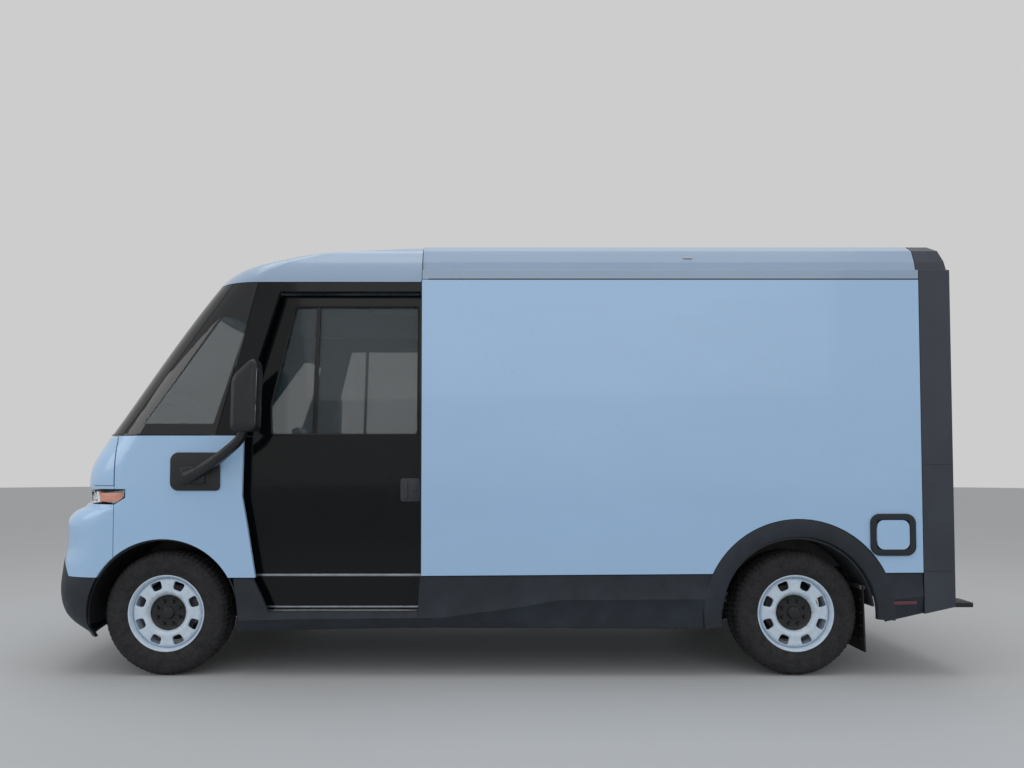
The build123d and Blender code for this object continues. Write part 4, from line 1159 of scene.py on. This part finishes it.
def build_cladding():
    """The sills, the rear wheel arch's convex trim, its inner lip, the side markers and the
    mud flaps' ribs and brackets."""
    def front_cut(z):
        return np.maximum(0.432, np.sqrt(np.maximum(0.468 ** 2 - (z - 0.382) ** 2, 0)))

    def arch_front(z):
        return ARCH_X - np.sqrt(np.maximum(ARCH_PANEL ** 2 - (z - ARCH_Z) ** 2, 0))

    def arch_rear(z):
        return ARCH_X + np.sqrt(np.maximum(ARCH_PANEL ** 2 - (z - ARCH_Z) ** 2, 0))

    def tail(z):
        return 4.640 + 0.0 * z
    inner, outer = ARCH_INNER, ARCH_OUTER
    trim = [(inner + 0.002, 1.040), (inner + 0.001, 1.066), (inner + 0.006, 1.0745),
            (inner + 0.018, 1.078), (ARCH_PANEL, 1.079), (outer - 0.022, 1.0775),
            (outer - 0.006, 1.0755), (outer - 0.0005, 1.071), (outer - 0.0005, 1.040)]
    parts = [cladding_panel(front_cut, arch_front), cladding_panel(arch_rear, tail),
             arc_band((ARCH_X, ARCH_Z), trim, -3, 188)]
    for side, name in SIDES:
        patches = [on_side(part, side) for part in parts]
        make("sill_" + name, "body", finish("cladding"), patches, 24,
             once(side, "side_skirts"))
        marker = side_plate(rounded_loop([(4.384, 0.441), (4.598, 0.449), (4.598, 0.471),
                                          (4.384, 0.463)], 0.006), side, 1.0660, 1.0752, 0.003)
        make("side_marker_" + name, "body", finish("dim_red"), marker, 35)
        liner = arc_band((ARCH_X, ARCH_Z), [(inner - 0.017, 0.790), (inner - 0.004, 0.790),
                                            (inner - 0.001, 1.040), (inner - 0.012, 1.040)], 6, 176)
        make("rear_arch_lip_" + name, "body", finish("plastic"),
             on_side(liner, side), 35)
        ribs = [box_between(4.284, 4.291, side * 0.80, side * 1.01, z, z + 0.012, 0.002)
                for z in (0.22, 0.30, 0.38, 0.46)]
        bracket = box_between(4.282, 4.3165, side * 0.80, side * 1.01, 0.530, 0.556, 0.003)
        make("flap_bracket_" + name, "body", finish("cast"), bracket, 35)
        make("flap_ribs_" + name, "body", finish("rubber"), ribs, 35)


# ------------------------------------------------------------------ body side, roof and rear
def build_body_lines():
    """Shut lines, the gutter and clip along the roof, the rear frame's seams, the roof's bows
    and the cargo lamps."""
    for side, name in SIDES:
        strip = side_plate(rect(1.620, 4.640, 2.4405, 2.4475), side, side_y - 0.004,
                           side_y + 0.0012, 0.001)
        make("gutter_" + name, "body", finish("black"), strip, 35)
        seams = [side_plate(rect(4.652, 4.830, z - 0.0016, z + 0.0016), side, side_y - 0.003,
                            side_y + 0.0006, 0.0005) for z in (0.650, 1.300)]
        make("rear_frame_seams_" + name, "body", finish("black"), seams, 35)
        clip = side_plate(rounded_loop(rect(3.205, 3.262, 2.585, 2.594), 0.004), side, 1.012, 1.0235, 0.002)
        make("roof_clip_" + name, "body", finish("steel"), clip, 35)
        edge_line = side_plate(rect(1.5745, 1.5785, 0.640, 2.436), side, side_y - 0.004,
                               side_y + 0.0005, 0.0005)
        make("side_edge_" + name, "body", finish("black"), edge_line, 35)
    bows = []
    for distance in np.arange(2.05, 4.60, 0.42):
        bows.append(box_between(distance, distance + 0.035, -0.90, 0.90, 2.600, 2.612, 0.004))
    make("roof_bows", "body", finish("white"), bows, 35)
    lamps = [box_between(distance, distance + 0.60, y - 0.03, y + 0.03, 2.585, 2.597, 0.005)
             for distance in (2.30, 3.55) for y in (-0.35, 0.35)]
    make("cargo_lamps", "body", finish("lamp_white"), lamps, 35)


def rear_plate(outline, depth_from, depth_to, edge=0.003, crown=0.0):
    """A plate on the van's back: outline in (y, height), between two distances aft."""
    outline = np.asarray(outline, float)
    return plate(outline[:, ::-1], (aft(depth_from), 0, 0), (0, 0, 1), (0, 1, 0),
                 depth_to - depth_from, edge, crown)


def build_rear():
    """Tail lamps, grab handles, the roller door's slat joints, handle and lock, a high brake
    light, a blank plate, reflectors, the rear step's ends, and the treads of both steps."""
    for side, name in SIDES:
        def box(y0, y1, z0, z1, radius=0.01):
            low, high = sorted((side * y0, side * y1))
            return rounded_loop(rect(low, high, z0, z1), radius)
        make("tail_case_" + name, "body", finish("black"),
             rear_plate(box(0.985, 1.061, 1.440, 1.950, 0.02), 4.799, 4.815, 0.004), 35,
             once(side, "tail_lamps"))
        red = [rear_plate(box(0.992, 1.054, z0, z1), 4.812, 4.834, 0.006)
               for z0, z1 in ((1.700, 1.942), (1.448, 1.520))]
        make("tail_light_" + name, "body", finish("red"), red, 35)
        make("turn_light_" + name, "body", finish("amber"),
             rear_plate(box(0.992, 1.054, 1.606, 1.694), 4.812, 4.834, 0.006), 35)
        make("reverse_light_" + name, "body", finish("clear"),
             rear_plate(box(0.992, 1.054, 1.526, 1.600), 4.812, 4.834, 0.006), 35)
        make("rear_reflector_" + name, "body", finish("red"),
             rear_plate(box(0.90, 1.00, 0.500, 0.535), 4.829, 4.8365, 0.003), 35)
        grab = carry(smooth_path([(aft(4.834), side * 0.955, 0.98), (aft(4.878), side * 0.955, 1.02),
                                  (aft(4.882), side * 0.955, 1.20), (aft(4.882), side * 0.955, 1.38),
                                  (aft(4.834), side * 0.955, 1.42)], 32), round_profile(0.014, 14),
                     up=(0, 1, 0))
        make("grab_handle_" + name, "body", finish("cladding"), grab, 35)
    slats = []
    for z in np.arange(0.770, 2.44, 0.075):
        slats.append(rear_plate(rect(-0.895, 0.895, z - 0.0025, z + 0.0025), 4.7885, 4.7915, 0.001))
    make("door_slat_joints", "body", finish("cast"), slats, 35)
    handle = [rear_plate(rounded_loop(rect(-0.12, 0.12, 0.800, 0.880), 0.012), 4.790, 4.796, 0.003),
              carry(smooth_path([(aft(4.794), -0.085, 0.84), (aft(4.822), -0.080, 0.84),
                                 (aft(4.828), -0.04, 0.84), (aft(4.828), 0.04, 0.84),
                                 (aft(4.822), 0.080, 0.84), (aft(4.794), 0.085, 0.84)], 30),
                    round_profile(0.008, 12)),
              lathe([(0.0, 0.004), (0.012, 0.003), (0.014, 0.0), (0.014, -0.004), (0.0, -0.004)],
                    (aft(4.797), 0.0, 0.815), (-1, 0, 0), 24)]
    make("roller_door_handle", "body", finish("steel"), handle, 35)
    high = rounded_loop(rect(-0.15, 0.15, 2.520, 2.545), 0.008)
    make("high_brake_light", "body", finish("red"), rear_plate(high, 4.829, 4.840, 0.004), 35)
    blank = rounded_loop(rect(-0.165, 0.165, 0.555, 0.665), 0.01)
    make("rear_plate_blank", "body", finish("white"), rear_plate(blank, 4.833, 4.8385, 0.002),
         35)
    tread = plate(rounded_loop(rect(aft(4.968), aft(4.842), -0.845, 0.845), 0.012), (0, 0, 0.4535), (1, 0, 0),
                  (0, 1, 0), 0.0035, 0.001)
    make("step_tread", "body", finish("tread"), tread, 35)
    for side, name in SIDES:
        end = plate(rounded_loop([(aft(4.972), 0.861), (aft(4.836), 0.861), (aft(4.836), 1.045),
                                  (aft(4.965), 1.045)], 0.02), (0, 0, 0.426), (1, 0, 0),
                    (0, 1, 0), 0.028, 0.005)
        make("step_end_" + name, "body", finish("rubber"),
             on_side(end, side), 35)
        tread = plate(rounded_loop(rect(aft(1.555), aft(0.660), 0.700, 1.020), 0.015),
                      (0, 0, 0.4015), (1, 0, 0), (0, 1, 0), 0.003, 0.001)
        make("cab_step_tread_" + name, "body", finish("tread"),
             on_side(tread, side), 35)


PORT_X, PORT_Z = 4.458, 0.872        # middle of the port, distance aft and height


def build_charge_port():
    """The charge port: a rounded rectangular ring and the socket with its pins behind the
    flap."""
    def loop(half_x, half_z, corner, count=96):
        corners = rect(PORT_X - half_x, PORT_X + half_x, PORT_Z - half_z, PORT_Z + half_z)
        return even_loop(rounded_loop(corners, corner, 8), count)
    middle = loop(0.1185, 0.108, 0.050)
    path = np.stack([aft(0) - middle[:, 0], np.full(96, side_y + 0.0055), middle[:, 1]], 1)
    section = rounded_loop([(-0.0195, -0.0052), (0.0195, -0.0052), (0.0165, 0.0052),
                            (-0.0165, 0.0052)], 0.004, 4)
    make("charge_ring", "body", finish("cladding"),
         carry(path, section, up=(0, 1, 0), close=True), 40)
    pins = []
    for x, z, r in ((4.458, 0.905, 0.016), (4.432, 0.89, 0.010), (4.484, 0.89, 0.010),
                    (4.436, 0.845, 0.016), (4.480, 0.845, 0.016)):
        cup = [(r, 0.006), (r * 0.8, 0.006), (r * 0.75, -0.008), (0.0, -0.008), (0.0, -0.010),
               (r, -0.010), (r, 0.006)]
        pins.append(lathe(cup, (aft(x), 1.062, z), (0, 1, 0), 24))
    make("charge_pins", "body", finish("steel"), pins, 35)


# ------------------------------------------------------------------ inside
CLOTH_FRAMES = 20


def inflated(name, block, pressure, cap, voxel):
    """A cushion: a soft block remeshed, blown up as cloth with air inside and no gravity, each
    point kept within cap of where it started, then applied and smoothed once."""
    points, faces = block
    mesh = bpy.data.meshes.new(name)
    mesh.from_pydata(points.tolist(), [], faces.tolist())
    tidy = bmesh.new()
    tidy.from_mesh(mesh)
    bmesh.ops.remove_doubles(tidy, verts=tidy.verts, dist=1e-5)
    bmesh.ops.dissolve_degenerate(tidy, edges=tidy.edges, dist=1e-6)
    bmesh.ops.recalc_face_normals(tidy, faces=tidy.faces)
    tidy.to_mesh(mesh)
    tidy.free()
    piece = bpy.data.objects.new(name, mesh)
    scene = bpy.context.scene
    scene.collection.objects.link(piece)
    bpy.context.view_layer.objects.active = piece
    remesh = piece.modifiers.new("even", "REMESH")
    remesh.mode = "VOXEL"
    remesh.voxel_size = voxel
    graph = bpy.context.evaluated_depsgraph_get()
    piece.data = bpy.data.meshes.new_from_object(piece.evaluated_get(graph))
    piece.modifiers.clear()
    count = len(piece.data.vertices)
    before = np.empty(count * 3)
    piece.data.vertices.foreach_get("co", before)
    before = before.reshape(-1, 3)
    cloth = piece.modifiers.new("cloth", "CLOTH")
    cloth.settings.use_pressure = True
    cloth.settings.uniform_pressure_force = pressure
    cloth.settings.effector_weights.gravity = 0
    cloth.settings.quality = 4
    for moment in range(1, CLOTH_FRAMES + 1):
        scene.frame_set(moment)
    graph = bpy.context.evaluated_depsgraph_get()
    blown = bpy.data.meshes.new_from_object(piece.evaluated_get(graph))
    after = np.empty(count * 3)
    blown.vertices.foreach_get("co", after)
    after = after.reshape(-1, 3)
    bpy.data.meshes.remove(blown)
    piece.modifiers.clear()
    scene.frame_set(1)
    swell = after - before
    length = np.linalg.norm(swell, axis=1, keepdims=True)
    after = before + swell * np.minimum(1, cap / np.maximum(length, 1e-9))
    piece.data.vertices.foreach_set("co", after.astype(np.float32).ravel())
    piece.data.shade_smooth()
    fine = piece.modifiers.new("fine", "SUBSURF")
    fine.levels = fine.render_levels = 1
    return piece


def leaned(patch, pivot, angle, pivot_z):
    """A patch turned backwards about a line across the van."""
    points, faces = patch
    x, z = points[:, 0] - pivot, points[:, 2] - pivot_z
    turned = points.copy()
    turned[:, 0] = pivot + x * math.cos(angle) - z * math.sin(angle)
    turned[:, 2] = pivot_z + x * math.sin(angle) + z * math.cos(angle)
    return turned, faces


DRIVER_Y, PASSENGER_Y = 0.430, -0.520


def build_seats():
    """Two seats: cushion, back, side wings and head rest as blown-up cloth pads, a plastic
    shell, head rest posts, rails, a red buckle, and a belt with its hook."""
    for seat, middle in (("driver", DRIVER_Y), ("passenger", PASSENGER_Y)):
        lean = math.atan2(0.100, 0.740)
        pads = {
            "cushion": (box_between(1.030, 1.440, middle - 0.165, middle + 0.165, 0.985, 1.058,
                                    0.030, 6), 3.0, 0.012, 0.008),
            "cushion_left_wing": (box_between(1.025, 1.450, middle + 0.170, middle + 0.222, 0.985,
                                              1.066, 0.022, 5), 2.0, 0.006, 0.008),
            "cushion_right_wing": (box_between(1.025, 1.450, middle - 0.222, middle - 0.170, 0.985,
                                               1.066, 0.022, 5), 2.0, 0.006, 0.008),
            "back": (leaned(box_between(1.452, 1.532, middle - 0.160, middle + 0.160, 1.040, 1.715,
                                        0.032, 6), aft(1.49), lean, 1.02), 3.0, 0.012, 0.008),
            "back_left_wing": (leaned(box_between(1.446, 1.530, middle + 0.165, middle + 0.222,
                                                  1.060, 1.640, 0.024, 5), aft(1.49), lean, 1.02),
                               2.0, 0.006, 0.008),
            "back_right_wing": (leaned(box_between(1.446, 1.530, middle - 0.222, middle - 0.165,
                                                   1.060, 1.640, 0.024, 5), aft(1.49), lean, 1.02),
                                2.0, 0.006, 0.008),
            "head_rest": (box_between(1.567, 1.635, middle - 0.108, middle + 0.108, 1.735, 1.900,
                                      0.030, 6), 3.0, 0.008, 0.007)}
        first = None
        for part, (block, pressure, cap, voxel) in pads.items():
            pad = inflated(seat + "_" + part, block, pressure, cap, voxel)
            pad.data.materials.append(finish("cloth"))
            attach(pad, "body")
            first = first or pad
        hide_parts(seat + "_seat")
        shell = [leaned(box_between(1.534, 1.556, middle - 0.215, middle + 0.215, 1.040, 1.690,
                                    0.010, 3), aft(1.49), lean, 1.02),
                 box_between(1.020, 1.470, middle - 0.232, middle + 0.232, 0.952, 0.984, 0.012, 3),
                 box_between(1.200, 1.480, middle + 0.224, middle + 0.240, 0.968, 1.070, 0.007, 3),
                 box_between(1.200, 1.480, middle - 0.240, middle - 0.224, 0.968, 1.070, 0.007, 3)]
        make(seat + "_seat_shell", "body", finish("plastic"), shell, 35)
        posts = [carry([(aft(1.588), middle + dy, 1.68), (aft(1.600), middle + dy, 1.765)],
                       round_profile(0.006, 10), up=(0, 1, 0)) for dy in (-0.05, 0.05)]
        rails = [box_between(1.030, 1.500, middle + dy - 0.015, middle + dy + 0.015, 0.9505,
                             0.9535, 0.001) for dy in (-0.17, 0.17)]
        make(seat + "_seat_posts", "body", finish("steel"), posts + rails, 35)
        inner = middle - 0.2 if seat == "driver" else middle + 0.2
        buckle = [box_between(1.395, 1.425, inner - 0.010, inner + 0.010, 1.085, 1.150, 0.005),
                  box_between(1.403, 1.417, inner - 0.004, inner + 0.004, 1.050, 1.090, 0.002)]
        make(seat + "_buckle", "body", finish("red"), buckle, 35)
        outer = 0.905 if seat == "driver" else -0.905
        flat = rounded_loop(rect(-0.023, 0.023, -0.0007, 0.0007), 0.0005, 2)
        belt = carry(smooth_path([(aft(1.640), outer, 0.700), (aft(1.642), outer, 1.300),
                                  (aft(1.640), outer, 1.930)], 24), flat, up=(0, 1, 0))
        hook = box_between(1.625, 1.655, outer - 0.008, outer + 0.006, 1.925, 1.985, 0.004)
        make(seat + "_belt", "body", finish("rubber"), [belt, hook], 35)


def build_cab():
    """The driver's place: wheel rim and hub, cluster, middle screen, vents, pedals, the inside
    mirror and the bulkhead door's pull."""
    lean = math.radians(40)
    axis = np.array([-math.cos(lean), 0, math.sin(lean)])
    hub = np.array([aft(0.760), DRIVER_Y, 1.400])
    first, second = across(axis)
    grip = ring(0.184, 0.0145, hub, axis, 72, 14, 0.9)
    spokes = [carry([hub + axis * -0.006 + d * 0.050, hub + axis * -0.010 + d * 0.176],
                    rounded_loop([(-0.019, -0.006), (0.019, -0.006), (0.015, 0.006),
                                  (-0.015, 0.006)], 0.004, 3), up=tuple(axis))
              for d in (first, -first, -second, )]
    pad = lathe([(0.0, 0.010), (0.040, 0.008), (0.058, 0.001), (0.062, -0.010), (0.050, -0.024),
                 (0.0, -0.028)], hub, axis, 40)
    make("steering_rim", "steering_wheel", finish("black"), [grip, *spokes, pad], 40,
         ["steering_wheel"])
    cluster = [box_between(0.552, 0.572, 0.290, 0.570, 1.395, 1.485, 0.006),
               box_between(0.500, 0.555, 0.400, 0.460, 1.380, 1.440, 0.006)]
    screen_case = [box_between(0.560, 0.578, -0.200, 0.110, 1.400, 1.580, 0.008),
                   box_between(0.520, 0.562, -0.070, -0.020, 1.380, 1.480, 0.006)]
    make("display_cases", "body", finish("black"), cluster + screen_case, 35)

    def face(distance, y0, y1, z0, z1):
        return rear_plate(rounded_loop(rect(y0, y1, z0, z1), 0.006),
                          distance, distance + 0.0015, 0.0006)
    make("displays", "body", finish("display"),
         [face(0.5722, 0.300, 0.560, 1.404, 1.476), face(0.5782, -0.190, 0.100, 1.410, 1.570)],
         35)
    vents = []
    for y in (-0.78, -0.30, 0.18, 0.74):
        for row in range(5):
            z = 1.255 + row * 0.018
            vents.append(box_between(0.616, 0.627, y - 0.07, y + 0.07, z, z + 0.004, 0.001))
    make("vent_slats", "body", finish("black"), vents, 35)
    top = [box_between(0.375, 0.395, -0.90, 0.90, 1.4245, 1.4275, 0.001),
           box_between(0.606, 0.628, -0.80, -0.15, 1.215, 1.222, 0.002)]
    make("dashboard_trim", "body", finish("trim"), top, 35)
    pedals = [box_between(0.600, 0.612, y - 0.030, y + 0.030, z, z + 0.085, 0.005)
              for y, z in ((0.46, 0.78), (0.34, 0.76))]
    pedals += [carry([(aft(0.520), y, 0.98), (aft(0.575), y, 0.90), (aft(0.603), y, z)],
                     round_profile(0.007, 10), up=(0, 1, 0))
               for y, z in ((0.46, 0.85), (0.34, 0.83))]
    make("pedals", "body", finish("cast"), pedals, 35)
    mirror = box_between(0.395, 0.415, -0.13, 0.13, 2.150, 2.215, 0.008, 3)
    make("inside_mirror", "body", finish("black"),
         [mirror, carry([(aft(0.330), 0, 2.245), (aft(0.400), 0, 2.19)],
                        round_profile(0.008, 10), up=(0, 1, 0))], 35)
    pull = box_between(1.8295, 1.8325, 0.250, 0.290, 1.20, 1.42, 0.0015)
    make("bulkhead_door_pull", "bulkhead_door", finish("cast"), pull, 35)


# ------------------------------------------------------------------ underneath
def helix(start, end, radius, wire, turns, steps=16, sides=8):
    """A coil spring: a round wire carried along a helix about the line from start to end."""
    start, end = np.asarray(start, float), np.asarray(end, float)
    first, second = across(end - start)
    t = np.linspace(0, 1, turns * steps)
    angle = t * turns * 2 * np.pi
    path = (start + (end - start) * t[:, None] + radius * np.cos(angle)[:, None] * first
            + radius * np.sin(angle)[:, None] * second)
    return carry(path, round_profile(wire, sides), up=tuple(unit(end - start)))


def build_under():
    """Under the floor: coil springs and dampers, battery ribs and bolts, high-voltage
    sleeves, and brake lines with their clips."""
    coils, dampers, rods = [], [], []
    for side in (LEFT, RIGHT):
        foot, head = (aft(0), side * 0.610, 0.300), (aft(0), side * 0.560, 0.560)
        coils.append(helix(foot, head, 0.052, 0.0065, 6))
        dampers.append(lathe([(0.0, 0.0), (0.026, 0.0), (0.027, 0.004), (0.027, 0.150),
                              (0.0, 0.152)], foot, unit(np.subtract(head, foot)), 24))
        rods.append(lathe(rect(0.0, 0.011, 0.145, 0.262), foot,
                          unit(np.subtract(head, foot)), 16))
    make("front_coils", "body", finish("black"), coils, 60)
    make("front_dampers", "body", finish("cast"), dampers, 35)
    make("front_damper_rods", "body", finish("steel"), rods, 35)
    ribs = [box_between(0.70 + 0.32 * k, 0.75 + 0.32 * k, -0.60, 0.60, 0.2455, 0.2565, 0.004)
            for k in range(8)]
    make("battery_ribs", "body", finish("alloy"), ribs, 35)
    bolt = lathe(rect(0.0, 0.010, -0.007, 0.0), (0, 0, 0),
                 (0, 0, 1), 6)
    places = [(aft(0.66 + 0.2 * k), side * 0.622, 0.2555) for k in range(13)
              for side in (LEFT, RIGHT)]
    make("battery_bolts", "body", finish("steel"), scattered(bolt, places), 30)
    sleeve = [carry(smooth_path([(aft(0.200), 0.12, 0.40), (aft(0.380), 0.14, 0.37),
                                 (aft(0.520), 0.16, 0.35), (aft(0.625), 0.16, 0.34)], 24),
                    round_profile(0.016, 12)),
              carry(smooth_path([(aft(0.200), 0.06, 0.40), (aft(0.380), 0.08, 0.37),
                                 (aft(0.520), 0.10, 0.35), (aft(0.625), 0.10, 0.34)], 24),
                    round_profile(0.016, 12))]
    make("power_sleeves", "body", finish("high_voltage"), sleeve, 40)
    line = carry(smooth_path([(aft(-0.45), 0.374, 0.50), (aft(0.9), 0.374, 0.50),
                              (aft(2.4), 0.374, 0.50), (aft(3.7), 0.374, 0.50)], 40),
                 round_profile(0.005, 8))
    clips = [box_between(0.2 + 0.6 * k, 0.22 + 0.6 * k, 0.366, 0.380, 0.490, 0.512, 0.002)
             for k in range(6)]
    make("brake_lines", "body", finish("cast"), [line, *clips], 35)




# ------------------------------------------------------------------ operators and stage
class VAN_OT_wheels(bpy.types.Operator):
    """Build the four wheels, tyres, hubs and brakes"""
    bl_idname = "van.wheels"
    bl_label = "Wheels"

    def execute(self, context):
        for wheel, middle, side, carrier in WHEELS:
            build_tyre(wheel, middle, side)
            build_wheel(wheel, middle, side)
            build_hub(wheel, middle, side)
            build_brake(wheel, middle, side, carrier)
        return {"FINISHED"}


class VAN_OT_nose(bpy.types.Operator):
    """Build the head lamps, the nose details and the wipers"""
    bl_idname = "van.nose"
    bl_label = "Nose"

    def execute(self, context):
        build_lamps()
        build_nose()
        return {"FINISHED"}


class VAN_OT_mirrors(bpy.types.Operator):
    """Build both door mirrors"""
    bl_idname = "van.mirrors"
    bl_label = "Mirrors"

    def execute(self, context):
        build_mirrors()
        return {"FINISHED"}


class VAN_OT_doors(bpy.types.Operator):
    """Build the sliding doors' seals, trim, handles and linings"""
    bl_idname = "van.doors"
    bl_label = "Doors"

    def execute(self, context):
        build_doors()
        return {"FINISHED"}


class VAN_OT_cladding(bpy.types.Operator):
    """Build the sills, the arch trims and the mud flap brackets"""
    bl_idname = "van.cladding"
    bl_label = "Cladding"

    def execute(self, context):
        build_cladding()
        return {"FINISHED"}


class VAN_OT_body(bpy.types.Operator):
    """Build the gutters, seams, roof bows and cargo lamps"""
    bl_idname = "van.body"
    bl_label = "Body lines"

    def execute(self, context):
        build_body_lines()
        return {"FINISHED"}


class VAN_OT_rear(bpy.types.Operator):
    """Build the tail lamps, the door's fittings and the step treads"""
    bl_idname = "van.rear"
    bl_label = "Rear"

    def execute(self, context):
        build_rear()
        return {"FINISHED"}


class VAN_OT_charge_port(bpy.types.Operator):
    """Build the charge port's ring and pins"""
    bl_idname = "van.charge_port"
    bl_label = "Charge port"

    def execute(self, context):
        build_charge_port()
        return {"FINISHED"}


class VAN_OT_seats(bpy.types.Operator):
    """Build both seats as padded cloth, with belts"""
    bl_idname = "van.seats"
    bl_label = "Seats"

    def execute(self, context):
        build_seats()
        return {"FINISHED"}


class VAN_OT_cab(bpy.types.Operator):
    """Build the steering rim, displays, pedals and cab trim"""
    bl_idname = "van.cab"
    bl_label = "Cab"

    def execute(self, context):
        build_cab()
        return {"FINISHED"}


class VAN_OT_under(bpy.types.Operator):
    """Build the springs, battery ribs, sleeves and lines"""
    bl_idname = "van.under"
    bl_label = "Underneath"

    def execute(self, context):
        build_under()
        return {"FINISHED"}


class VAN_OT_stage(bpy.types.Operator):
    """Set up the pale floor, the soft lights and the camera"""
    bl_idname = "van.stage"
    bl_label = "Stage"

    def execute(self, context):
        build_stage()
        return {"FINISHED"}


def build_stage():
    scene = bpy.context.scene
    floor_finish = Finish("studio_floor", (0.47, 0.485, 0.50), 0.75)
    floor_finish.vary(floor_finish.noise(0.6, 3), 0.01)
    reach = np.array([0.0, 2.0, 6.0, 14.0, 60.0])
    turn = np.linspace(0, 2 * np.pi, 64, endpoint=False)
    points = np.stack([reach[:, None] * np.cos(turn), reach[:, None] * np.sin(turn),
                       np.zeros((len(reach), 64))], -1)
    verts, quads = sheet_of(points, wrap_columns=True)
    mesh = bpy.data.meshes.new("studio_floor")
    mesh.from_pydata(verts.tolist(), [], quads.tolist())
    mesh.materials.append(floor_finish.material)
    floor = bpy.data.objects.new("studio_floor", mesh)
    scene.collection.objects.link(floor)
    world = bpy.data.worlds.new("studio_air")
    world.use_nodes = True
    world.node_tree.nodes["Background"].inputs["Color"].default_value = (0.61, 0.61, 0.61, 1)
    world.node_tree.nodes["Background"].inputs["Strength"].default_value = 1.0
    scene.world = world
    for name, place, target, size, power in LIGHTS:
        lamp = bpy.data.lights.new(name, "AREA")
        lamp.shape = "RECTANGLE"
        lamp.size, lamp.size_y = size
        lamp.energy = power
        holder = bpy.data.objects.new(name, lamp)
        holder.location = place
        holder.rotation_euler = (Vector(target) - Vector(place)).to_track_quat("-Z", "Y").to_euler()
        scene.collection.objects.link(holder)
    lens_data = bpy.data.cameras.new("stage_camera")
    lens_data.lens = sizes().lens
    lens_data.sensor_width = 36
    lens_data.shift_x, lens_data.shift_y = CAMERA_SHIFT
    camera = bpy.data.objects.new("stage_camera", lens_data)
    camera.location = (aft(CAMERA_PLACE[0]), *CAMERA_PLACE[1:])
    camera.rotation_euler = (math.radians(90 + CAMERA_PITCH), 0, math.radians(180))
    scene.collection.objects.link(camera)
    scene.camera = camera
    scene.view_settings.view_transform = "Standard"


CAMERA_PITCH = 2.0
CAMERA_PLACE = (2.030, 5.970, 1.271)     # distance aft, y and height
CAMERA_SHIFT = (0.0166, 0.056)
LIGHTS = (
    ("overhead", (0, 1.0, 7.5), (0, 0, 0), (9, 5), 200),
    ("flank", (-1.0, 9.5, 4.2), (0, 0, 1.3), (9, 3.5), 60),
    ("front", (7.5, 4.0, 3.6), (1.5, 0, 1.3), (4, 3), 60),
    ("rear", (-8.0, 2.0, 3.6), (-1.5, 0, 1.3), (4, 3), 50),
)


class VAN_PT_panel(bpy.types.Panel):
    """Sizes, colours and one button for each group of pieces"""
    bl_label = "Van"
    bl_idname = "VAN_PT_panel"
    bl_space_type = "VIEW_3D"
    bl_region_type = "UI"
    bl_category = "Van"

    def draw(self, context):
        column = self.layout.column()
        for group in (context.scene.van_sizes, context.scene.van_colours):
            for name in group.__annotations__:
                column.prop(group, name)
        for operator in OPERATORS:
            column.operator(operator.bl_idname)


OPERATORS = (VAN_OT_wheels, VAN_OT_nose, VAN_OT_mirrors, VAN_OT_doors, VAN_OT_cladding,
             VAN_OT_body, VAN_OT_rear, VAN_OT_charge_port, VAN_OT_seats, VAN_OT_cab,
             VAN_OT_under, VAN_OT_stage)
CLASSES = (VanColours, VanSizes, *OPERATORS, VAN_PT_panel)


def register():
    for entry in CLASSES:
        bpy.utils.register_class(entry)
    bpy.types.Scene.van_colours = PointerProperty(type=VanColours)
    bpy.types.Scene.van_sizes = PointerProperty(type=VanSizes)


def unregister():
    del bpy.types.Scene.van_sizes
    del bpy.types.Scene.van_colours
    for entry in reversed(CLASSES):
        bpy.utils.unregister_class(entry)


def dress_nodes():
    dress("paint", "fenders", "nose_panel", "hood", "cargo_side_left", "cargo_side_right", "charge_flap")
    # The roof panels get the darker copy of the body paint: painted shade
    dress("roof", "cab_roof", "cargo_roof")
    dress("cladding", "front_bumper", "side_skirts", "rear_step")
    dress("portal", "rear_portal")
    dress("gloss", "cab_frame", "cab_door_left", "cab_door_right")
    dress("screen", "windscreen")
    dress("quarter", "quarter_glass")
    dress("pane", "door_glass_left", "door_glass_right")
    dress("white", "bulkhead", "bulkhead_door", "roller_door")
    dress("chassis", "chassis_frame", "front_suspension", "rear_axle")
    dress("alloy", "battery_pack", "drive_unit")
    dress("mat", "cab_floor", "cargo_floor")
    dress("plastic", "dashboard", "steering_column", "steering_wheel", "seat_bases")
    dress("cloth", "driver_seat", "passenger_seat")
    dress("black", "mirrors", "arch_liners", "charge_socket")
    dress("rubber", "mudflaps")
    dress("red", "tail_lamps")
    dress("clear", "headlamps")
    dress("cast", "knuckle_left", "knuckle_right")


def main():
    register()
    dress_nodes()
    for operator in OPERATORS:
        family, name = operator.bl_idname.split(".")
        getattr(getattr(bpy.ops, family), name)()


if __name__ == "__main__":
    main()
